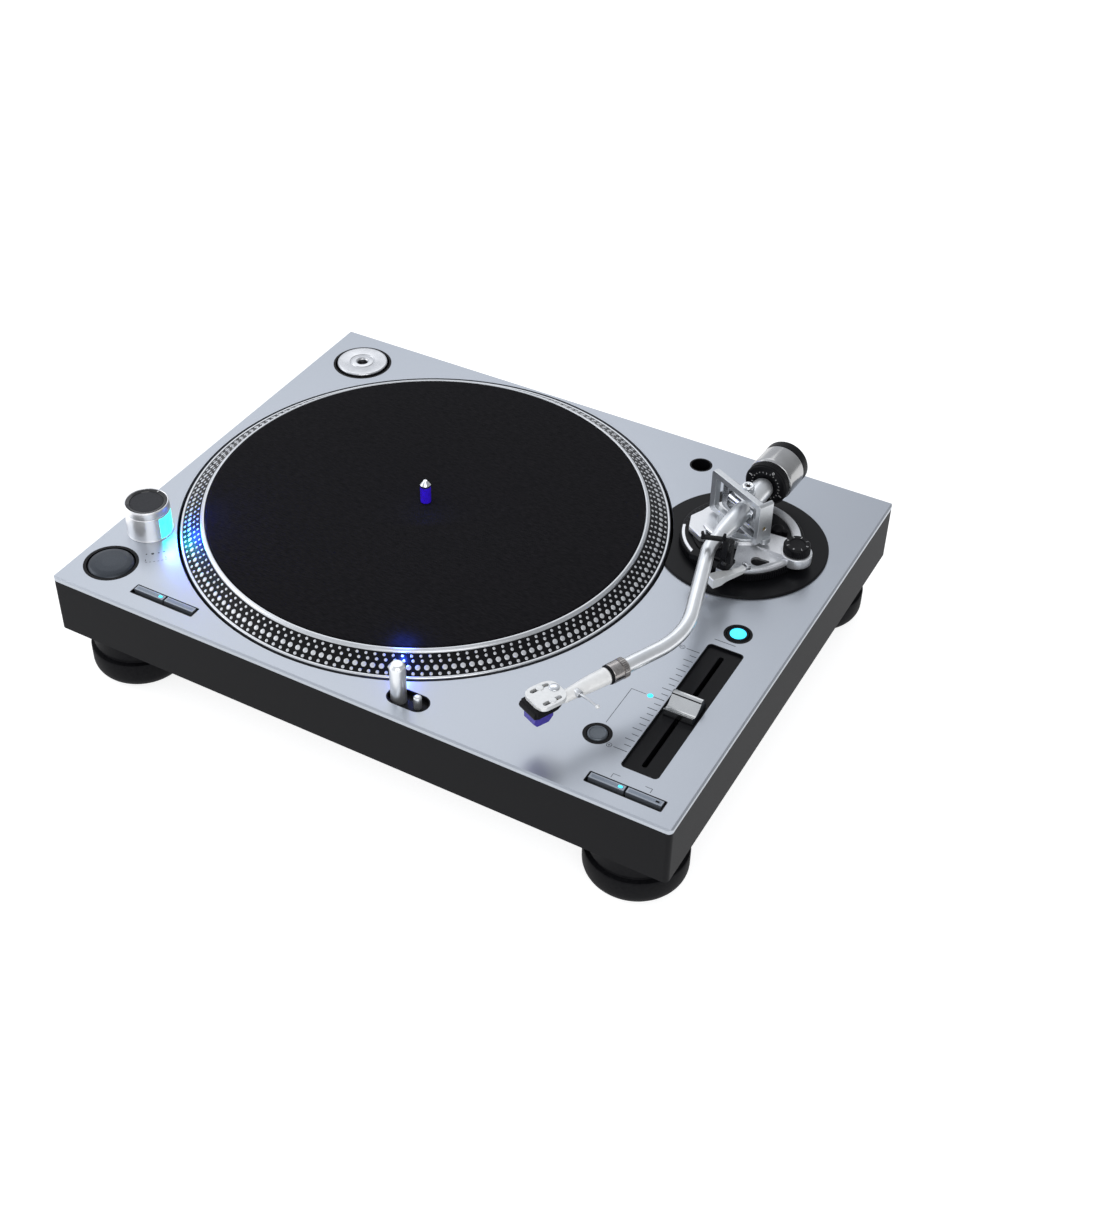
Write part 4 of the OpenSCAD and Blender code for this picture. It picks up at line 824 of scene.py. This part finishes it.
def lamp_and_adapter():
    place = on_deck("target_lamp")
    post = [(0, -9.9), (5.05, -9.9), (5.1, 23.6), (4.9, 24.4), (3.8, 25.9), (3.3, 26.2), (0, 26.2)]
    _, spin = kit("target_lamp", "polished", "arm", place)
    lamp = spin("lamp_post", post, radius=0.25, segments=64, replaces="target_lamp")
    at_lens = place @ shift(0, 0, 21.6) @ FACE_BACK
    cut(lamp, moved(rod(1.55, 2.9, 6.4), at_lens))
    lens = lathe([(0, 2.5), (1.5, 2.5), (1.5, 3.6), (0.8, 4.2), (0, 4.4)], 24)
    add_piece("lamp_lens", lens, "blue", "target_lamp", at_lens, "lit_cap")
    pin = [(0, -6.4), (2.6, -6.4), (2.6, 4.7), (2.2, 5.4), (1.3, 5.75), (0, 5.8)]
    _, spin = kit("target_release", "polished", "arm", on_deck("target_release"))
    spin("release_pin", pin, segments=40, replaces="target_release")
    ring = [(3.7, -5.8), (19, -5.8), (19.05, 1), (18.6, 1.7), (17.6, 1.9), (9.6, 1.7), (9.2, 1.2),
            (8.6, 1.2), (8.2, 1.7), (5.2, 1.9), (4.4, 1.5), (3.7, 0.6), (3.7, -5.8)]
    _, spin = kit("adapter", "adapter", "turned", on_deck("adapter_45"))
    spin("adapter_disc", ring, radius=0.25, segments=160, replaces="adapter_45")


# ---------------- arm base

def height_ring():
    put, spin = kit("height_ring", "black_metal", "black_metal", AT_ARM)
    put("ring_knurl", prism(toothed(41.9, 0.35, 150), 2.4, 6.9), sharp=20)
    spin("ring_body", [(30.1, 2), (41.4, 2), (41.4, 7.1), (41, 7.65), (40.2, 7.8), (31, 7.8), (30.1, 7.2),
         (30.1, 2)], radius=0.2, segments=160, replaces="height_ring")
    marks = bmesh.new()
    for i in range(60):
        tick(marks, 37.6 if i % 5 == 0 else 38.6, 39.8, math.radians(6 * i), 0.25)
    put("ring_marks", marks, "ink_grey", shift(0, 0, 7.78))


def casting():
    """The bright casting under the arm: bowl, web, lobe, plateau, rear housing and crescent."""
    put, spin = kit("arm_base", "arm_casting", "casting", AT_ARM)
    spin("base_stem", [(0, -21.9), (16, -21.9), (16, 8), (33.4, 8.1), (33.4, 8.8), (16, 9), (0, 9)],
         "black_metal", segments=128, replaces="arm_base")
    spin("base_hub", [(14, 8.5), (17.6, 8.5), (17.6, 14.6), (17.1, 15.1), (14, 15.2)], segments=128)
    bowl = [(17, 8.3), (17, 13.1), (20, 13), (25, 11.6), (31, 10.2), (35.6, 9.8), (37, 10.1), (37.8, 11.4),
            (38.4, 11.7), (40.6, 11.7), (41.3, 11.2), (41.5, 10.2), (41.5, 8.3)]
    piece = put("base_bowl", sector(bowl, -77, -12), sharp=30)
    drop = circle(4, 20.8, -24.2, 30, 75, 255) + circle(1, 27.2, -20.6, 10, -60, 160)
    cut(piece, moved(prism(drop, 8, 15), AT_ARM))
    put("base_slot_floor", prism(drop, 8.32, 8.5), "black")
    web = [(8, -13), (35, -13), (41, -14.6), (47, -6), (44, 2), (38, 4.8), (29, 5.4), (17, 4.6), (8, 7)]
    put("base_web", prism(web, 8.4, 13.2), bevel=0.5, segments=3)
    spin("dial_lobe", [(0, 6), (10.2, 6), (10.4, 6.4), (10.4, 12.9), (9.8, 13.4), (0, 13.4)],
         at=shift(*DIAL))
    plateau = [(-31, -8), (-30.6, -20), (-22, -28.5), (-9, -29.5), (-2, -24), (4, -14), (2, 6), (-16, 8),
               (-27, 3)]
    put("base_plateau", prism(plateau, 8.6, 13.4), at=turn(GIMBAL_A), bevel=0.8, segments=3)
    for name, a0, a1, profile in (
            ("strip", -166, -112, [(38.2, 7.85), (40.4, 7.85), (40.2, 8.4), (38.4, 8.6)]),
            ("rear", 92, 208, [(16, 8.3), (32.6, 8.3), (33, 8.8), (33, 12), (32.4, 12.6), (16, 12.6)]),
            ("crescent", 2, 96, [(32.6, 8), (38.6, 8), (39, 8.5), (38.8, 9.2), (33.6, 9.6), (32.6, 9.2)])):
        put("base_" + name, sector(profile, a0, a1), sharp=30)
    seat = block(4.2, 12.2, -3.8, 8.8, 8.6, 13)
    add_piece("rest_seat", seat, "casting", "arm_base", AT_REST, "arm_casting", bevel=0.4)


def antiskate():
    body = "antiskate_dial"
    put, spin = kit(body, "black_metal", "black", AT_DIAL)
    put("antiskate_skirt", prism(toothed(9, 0.35, 48), 13.7, 18.9), sharp=20)
    spin("antiskate_cap", [(0, 13.6), (8.7, 13.6), (8.75, 19), (8.3, 19.7), (7.9, 19.9), (5.2, 19.9),
         (4.9, 19.4), (0, 19.4)], radius=0.2, replaces=body)
    spin("antiskate_ring", [(5.3, 19.85), (8.1, 19.85), (8, 20), (5.4, 20)], "black_metal", radius=0.02)
    for i in range(8):
        spot = AT_DIAL @ shift(0, 0, 20) @ turn(math.radians(45 * i) - QUARTER) @ shift(0, 6.7)
        digit("antiskate_%d" % i, str(i), 2.3, body, spot, 0.05)


def height_lock():
    put, spin = kit("height_lock", "black_trim", "black", AT_ARM @ turn(math.radians(36)) @ shift(24, 0))
    spin("lock_knob", [(0, -3.1), (2.5, -3.1), (2.5, 2), (4.4, 2.4), (4.4, 9.4), (4.1, 11.6), (3.4, 12.3),
         (0, 12.4)], segments=64, replaces="height_lock")
    at_lever = turn(math.radians(-40)) @ shift(3.2, 0)
    put("lock_lever", prism(stadium(4.6, 1.7), 8.8, 11.6), at=at_lever, bevel=0.4)


# ---------------- yoke, gimbal, rest, cue

def yoke():
    put, spin = kit("arm_base", "arm_casting", "cast_satin", AT_GIMBAL)
    bm = frame_slab((-28, 21.6), (15.4, 47.5), (-7, -2.6), (-23, 17.9), (19.7, 43), 2.2, 1.4)
    put("yoke_frame", bm, bevel=0.45, segments=3, replaces="gimbal_yoke")
    post = standing(round_rect(3.9, 31.9, 2.4, 19.85, 31.45, 8), -6.9, 4.6)
    side = put("yoke_block", post, bevel=1.1, segments=5)
    at_screw = shift(20.2, -1.5, 27.5) @ FACE_RIGHT
    cut(side, moved(rod(1.5, 0, 4), AT_GIMBAL @ at_screw))
    put("yoke_foot", pad(16, 7, 2, 15.4, 19.4, 16, 0.5), bevel=0.4)
    put("yoke_screw", lathe([(0, 0.3), (1.35, 0.3), (1.35, 1.2), (0, 1.3)], 24), "brass", at_screw)
    spin("yoke_base", [(12, 15), (16.2, 15), (16.2, 15.9), (17.7, 16), (18, 16.4), (18, 17.6), (17.5, 18),
         (12, 18)], radius=0.15, segments=128)
    put("yoke_bridge", pad(13, 8.4, 3.5, 43.1, 45.4, 0, -0.6, 8), bevel=0.3)
    spin("pivot_nut", [(0, 45.3), (4.1, 45.3), (4.1, 48.4), (3.7, 48.9), (2.4, 48.9), (1.9, 48.2), (0, 48.2)],
         "polished", shift(0, 0.6), radius=0.15, segments=64)
    # A black hexagon at the bottom of the nut's recess stands for the dark socket: painted shade.
    put("pivot_socket", prism(circle(1.7, steps=6), 48, 48.3), "black", shift(0, 0.6))


def gimbal():
    put, _ = kit("gimbal", "gimbal", "polished", AT_GIMBAL)
    bm = frame_slab((-20.5, 16.5), (21, 41.8), (-3, 3), (-15, 11), (23.4, 39.4), 3, 2)
    put("gimbal_frame", bm, "cast_dark", bevel=0.5, segments=3, replaces="gimbal_ring")
    for name, x, sign in (("left", -20.4, -1), ("right", 16.4, 1)):
        put("gimbal_cap_" + name, lathe([(0, 0), (3.2, 0), (3.2, 0.5), (2.7, 0.9), (0, 0.9)], 40),
            at=shift(x, 0, ARM_Z) @ turn(sign * QUARTER, "Y"))


def rest():
    put, _ = kit("arm_base", "rest", "black", AT_REST)
    put("rest_post", pad(6, 8.6, 1, 12.8, ARM_Z + 2.8, 9.4, 0.4), bevel=0.5, segments=3,
        replaces="arm_rest")
    low = ARM_Z - TUBE_R - 1.6
    hollow = [polar(5.6, math.radians(a)) for a in range(-30, -151, -15)]
    outline = [(-6.6, low - 2.8), (12, low - 2.8), (12, low + 2), (6.6, low + 5)]
    outline += [(x, ARM_Z + z) for x, z in hollow] + [(-6.6, low + 1.5)]
    put("rest_cradle", standing(outline, -3.8, 3.8), bevel=0.4)
    put("rest_wing", pad(7.6, 7.6, 1.2, 16.6, 20.6, -9.6, -4.6), bevel=0.5, segments=3)
    put("rest_foot", pad(8.2, 12.6, 1.2, 12.7, 15, 8.2, 2.5), bevel=0.4)
    for name, y, facing in (("front", -3.95, FACE_FRONT), ("back", 4.75, FACE_BACK)):
        put("rest_rivet_" + name, lathe([(0, 0), (1.9, 0), (1.7, 0.6), (0, 0.9)], 24), "gloss_black",
            shift(9.6, y, 19.5) @ facing)


def clip():
    """The strap over the arm tube, with a prong at each end, and its hinge."""
    put, _ = kit("rest_clip", "rest", "black", AT_REST)
    top = ARM_Z + TUBE_R + 4.2
    strap = shift(3.4, -9.4) @ turn(math.radians(22))
    put("clip_strap", pad(16.4, 3.6, 1.2, top, top + 2), at=strap, bevel=0.5, segments=3,
        replaces="rest_clip")
    for name, x, lean in (("left", -6.6, -0.3), ("right", 6, 0.3)):
        at_prong = strap @ shift(x, 0, top + 1.6) @ turn(lean, "Y")
        put("clip_prong_" + name, pad(1.9, 3, 0.7, 0, 3.4), at=at_prong, bevel=0.35)
    put("clip_riser", pad(3.6, 4.6, 1, ARM_Z - 3, top + 1.8, 11.4, -7.3), bevel=0.6, segments=3)
    at_hinge = shift(10.2, 0, ARM_Z - 2) @ FACE_FRONT
    put("clip_hinge", lathe([(0, 5.2), (3.4, 5.2), (3.4, 7.2), (2.9, 7.6), (0, 7.6)], 40), at=at_hinge)
    put("clip_axle", rod(1.2, -7.8, 5.3), "steel", at_hinge)
    put("clip_tab", pad(3.4, 2.2, 0.6, ARM_Z - 8, ARM_Z + 1, 13.6, -6.4), bevel=0.4)


def cue():
    z = CUE_Z
    side = [(0.4, z + 1.4), (-4, z - 1.2), (-13, z - 1.4), (-18.6, z + 0.6), (-20.5, z + 0.4),
            (-27.4, z + 0.9), (-28, z + 0.2), (-28, z - 5.6), (-27, z - 6.6), (-21, z - 6.4), (-17, z - 5),
            (-4, z - 4.2), (0.4, z - 1.4), (1.2, z)]

    def widths(y):
        """The bar is slim at its pivot and ends in a broad lug."""
        half = 3.6 if y < -20 else (3.2 if y < -10 else 2.2)
        return -half, half
    put, _ = kit("cue_lever", "lever", "shell", AT_CUE)
    put("cue_bar", across(side, widths, triangles=True), bevel=0.4, segments=3, replaces="cue_lever")
    hub = lathe([(0, -2.8), (1.5, -2.8), (1.7, -2.5), (1.7, 2.5), (1.5, 2.8), (0, 2.8)], 32)
    at_axle = shift(0, 0, z) @ FACE_RIGHT
    put("cue_hub", hub, "satin", at_axle)
    add_piece("cue_axle", rod(1, -3.6, 3.6), "steel", "arm_base", AT_CUE @ at_axle, "arm_casting")


def lifter():
    reach = 27.4                                # from the arm's axis
    top = ARM_Z - TUBE_R - 2.9
    put, _ = kit("cue_platform", "black_metal", "casting", AT_ARM)
    arc = [(-1.6, 0), (1.6, 0), (1.6, 1.5), (1, 2.2), (-1, 2.2), (-1.6, 1.5)]
    bm = sector([(reach + r, top - 2.2 + z) for r, z in arc], -134, -112, 24)
    put("lifter_arc", bm, sharp=30, replaces="cue_platform")
    at_pin = shift(*polar(reach, math.radians(-124.5)))
    put("lifter_pin", rod(2, 2.5, top - 1, 32), "polished", at_pin)


# ---------------- arm

ROOT_L, BEND1_A, BEND1_R = 46, math.radians(19), 30
MID_L, BEND2_R, LAST_L = 61.6, 61, 38
OFFSET_A = PARK_A - TAIL_A


def arm_path():
    """The tube's middle line: a straight root, two bends with a straight between them, and the tail."""
    points = [(0, -30), (0, -ROOT_L + 2)]
    steps = 14
    for i in range(steps + 1):
        a = BEND1_A * i / steps
        points.append((BEND1_R * (1 - math.cos(a)), -ROOT_L - BEND1_R * math.sin(a)))
    x, y = points[-1]
    x, y = x + MID_L * math.sin(BEND1_A), y - MID_L * math.cos(BEND1_A)
    cx, cy = x - BEND2_R * math.cos(BEND1_A), y - BEND2_R * math.sin(BEND1_A)
    steps = 28
    for i in range(steps + 1):
        dx, dy = polar(BEND2_R, BEND1_A - (BEND1_A + OFFSET_A) * i / steps)
        points.append((cx + dx, cy + dy))
    x, y = points[-1]
    points.append((x - LAST_L * math.sin(OFFSET_A), y - LAST_L * math.cos(OFFSET_A)))
    return [(px, py, 0, TUBE_R) for px, py in points]


def arm():
    put, _ = kit("arm", "arm_tube", "arm", AT_TUBE)
    put("arm_pipe", sweep(arm_path(), 48), replaces="arm_tube", sharp=60)
    root = [(0, -38.4), (4.85, -38.4), (5.1, -36.4), (5.7, -31.6), (6.2, -24), (6.5, -10), (6.4, -4.4),
            (5.9, -3.4), (5.2, -2.6), (5.2, 3.4), (6.4, 5.2), (7.4, 6.6), (7.4, 24), (7, 26.4), (6, 28.4),
            (3.6, 28.6), (3.6, 71.5), (3.1, 72), (0, 72)]
    _, spin = kit("arm", "arm_tube", "arm", AT_BACK)
    spin("arm_root", root, radius=0.8)
    shaft = [(0, -19.1), (1.5, -19.1), (1.5, -14.6), (3.6, -14.5), (3.6, 10.5), (1.5, 10.6), (1.5, 15.1),
             (0, 15.1)]
    _, spin = kit("arm", "arm_tube", "polished", AT_GIMBAL @ shift(0, 0, ARM_Z) @ FACE_RIGHT)
    spin("arm_axle", shaft, segments=48)


def weight():
    _, spin = kit("counterweight", "weight", "weight_steel", AT_BACK)
    spin("weight_body", [(3.7, 35.4), (13.8, 35.4), (15.4, 36), (15.9, 36.9), (16, 38), (16, 54.2),
         (15.7, 54.6), (12, 54.6)], segments=160, replaces="counterweight")
    spin("weight_band", [(3.7, 54.6), (15.7, 54.7), (15.95, 55.1), (15.9, 61), (15.2, 62.2), (14, 62.6),
         (10.4, 62.6), (9.8, 61.8), (9.6, 53.8), (3.7, 53.8)], "black", segments=160)


def force_dial():
    body, slot_name, face_y = "force_dial", "black_metal", 29
    put, spin = kit(body, slot_name, "black", AT_BACK)
    put("dial_skirt", prism(toothed(15.2, 0.3, 72), 30, 34.5), sharp=20)
    spin("dial_face", [(3.7, 34.7), (14.7, 34.7), (14.9, 30.4), (14.3, 29.3), (13.6, face_y), (8.6,
         face_y), (8.2, 29.6), (8, 31), (3.7, 31)], segments=128, replaces="force_dial")
    ticks = bmesh.new()
    for i in range(24):
        tick(ticks, 9.6 if i % 6 else 9, 10.4, 2 * math.pi * i / 24, 0.3)
    facing = AT_TUBE @ shift(0, face_y) @ FACE_FRONT
    add_piece("dial_ticks", ticks, "ink_white", body, facing, slot_name)
    for i in range(4):
        a = QUARTER - i * QUARTER - 0.4
        digit("dial_%d" % i, str(i), 3.4, body, facing @ shift(*polar(12.1, a)) @ turn(a - QUARTER), 0.06)


def collar():
    s, bore = 24, 4.82
    put, spin = kit("collar", "arm_tube", "collar", AT_NECK)
    spin("collar_core", [(bore, s + 0.1), (5.6, s + 0.1), (5.9, s + 0.5), (5.9, s + 4.6), (6.2, s + 5),
         (6.3, s + 5.4), (6.3, s + 11.6), (6, s + 12), (bore, s + 12)], radius=0.15,
         replaces="headshell_collar")
    put("collar_ribs", prism(toothed(6.5, 0.4, 30), s + 0.9, s + 4.4), sharp=20)
    spin("collar_seal", [(bore, s + 12), (5.9, s + 12), (6.2, s + 12.4), (6.2, s + 13.1), (5.8,
         s + 13.5), (bore, s + 13.5)], "black", radius=0.2)


SHELL_X = -4.4
SHELL_Y = -78.8


def headshell():
    put, spin = kit("headshell", "shell", "shell", AT_TAIL)
    # The neck uses the brighter copy of the shell's silver: painted highlight.
    spin("shell_neck", [(0, 30), (3.7, 30), (3.7, 37.8), (5.2, 37.9), (5.5, 38.5), (5.3, 39.4), (5.2, 47),
         (4.9, 53), (4.4, 59), (4, 63), (3.9, 66), (4, 69.6), (3.2, 71.2), (0, 71.6)], "neck",
         FACE_FRONT, radius=0.5, segments=72, replaces="headshell")
    outline = [(-9.8, 4.2), (-8.2, 8.8), (-4.6, 10.7), (4.6, 10.7), (8.4, 8.6), (9.9, 4.4), (9.8, -6.6),
               (8, -9.6), (4, -10.8), (-5.6, -10.8), (-8.8, -9.2), (-10.2, -5.2)]
    plate = prism(soften(outline + outline[:1], 2, 4)[:-1], 1.1, 4)
    at_plate = shift(SHELL_X, SHELL_Y)
    piece = put("shell_plate", plate, at=at_plate)
    slot_x = 6.35
    for x in (-slot_x, slot_x):
        at_slot = AT_TAIL @ at_plate @ shift(x, -0.4) @ turn(QUARTER)
        cut(piece, moved(prism(stadium(10.4, 1.35), 0.5, 5), at_slot))
    soft = piece.modifiers.new("edges", "BEVEL")
    soft.width, soft.segments, soft.limit_method = 0.35 * MM, 3, "ANGLE"
    for name, x in (("left", -slot_x), ("right", slot_x)):
        spin("shell_screw_" + name, [(0, 3), (2.3, 3), (2.4, 4.1), (2.1, 4.45), (0, 4.5)],
             at=at_plate @ shift(x, -0.2), segments=40)
    spin("shell_dome", [(3.4, 3.9), (3.2, 4.5), (2.4, 4.9), (1.2, 5.1), (0, 5.1)], "polished",
         at_plate @ shift(-1.8, 7), segments=48)
    put("lift_hub", lathe([(0, 1.5), (2.1, 1.5), (2.3, 2), (2.3, 5.4), (1.9, 6), (0, 6)], 32),
        "satin", shift(0, -61.8, 1.9) @ FACE_RIGHT)
    path = [(4.6, -61.8, 2.2, 0.95), (8, -61.7, 2.7, 0.85), (12, -61.2, 2.8, 0.75), (16, -60.5, 2.4, 0.7),
            (18.8, -59.9, 2, 0.75)]
    put("lift_rod", sweep(path, 16), "satin", sharp=60)
    put("lift_tip", lathe([(0, -1.3), (0.8, -1.1), (1.4, -0.4), (1.4, 0.4), (0.8, 1.1), (0, 1.3)], 20),
        at=shift(19.4, -59.8, 1.9), sharp=60)


def cartridge():
    place = AT_TAIL @ shift(SHELL_X, -83)
    put, _ = kit("headshell", "cartridge", "black", place)
    put("cartridge_flange", pad(16.4, 17, 1.2, -2.5, 0.95), bevel=0.4, replaces="cartridge")
    side = [(10, -1.1), (9.8, -2.6), (7.4, -4.6), (4, -5), (-6.6, -5), (-9.8, -3.8), (-10.4, -1.6),
            (-9.6, 0.3), (-7, 0.9), (7, 0.9)]
    put("cartridge_body", across(side, lambda y: (-7.6, 7.6)), bevel=0.6, segments=3)
    for i in range(4):
        at_pin = shift(-3.6 + 2.4 * i, 13.2, -3.4) @ FACE_FRONT
        put("cartridge_pin_%d" % i, rod(0.5, 0, 4.2, 12), "brass", at_pin)
    put, _ = kit("headshell", "stylus", "stylus", place)
    guard = [(5.4, -5.1), (-8.6, -5.1), (-8.6, -9.6), (-6.4, -12.4), (2, -12.6), (5.4, -9)]
    put("stylus_guard", across(guard, lambda y: (-4.8, 6)), bevel=0.7, segments=3, replaces="stylus")
    cantilever = [(0, 3, -12.6, 0.55), (0, 0.6, -14.4, 0.4), (0, -1, -15.6, 0.3)]
    put("stylus_cantilever", sweep(cantilever, 12), "steel")
    needle = lathe([(0, -17), (0.3, -16.2), (0.35, -15.2), (0, -15.2)], 12)
    put("stylus_tip", needle, "polished", shift(0, -1))


for build in (
        platter_metal, platter_dots, slipmat_and_spindle, feet, tower, buttons, keys, fader, scale_print,
        tower_print, lamp_and_adapter, height_ring, casting, antiskate, height_lock, yoke, gimbal, rest,
        clip, cue, lifter, arm, weight, force_dial, collar, headshell, cartridge):
    build()
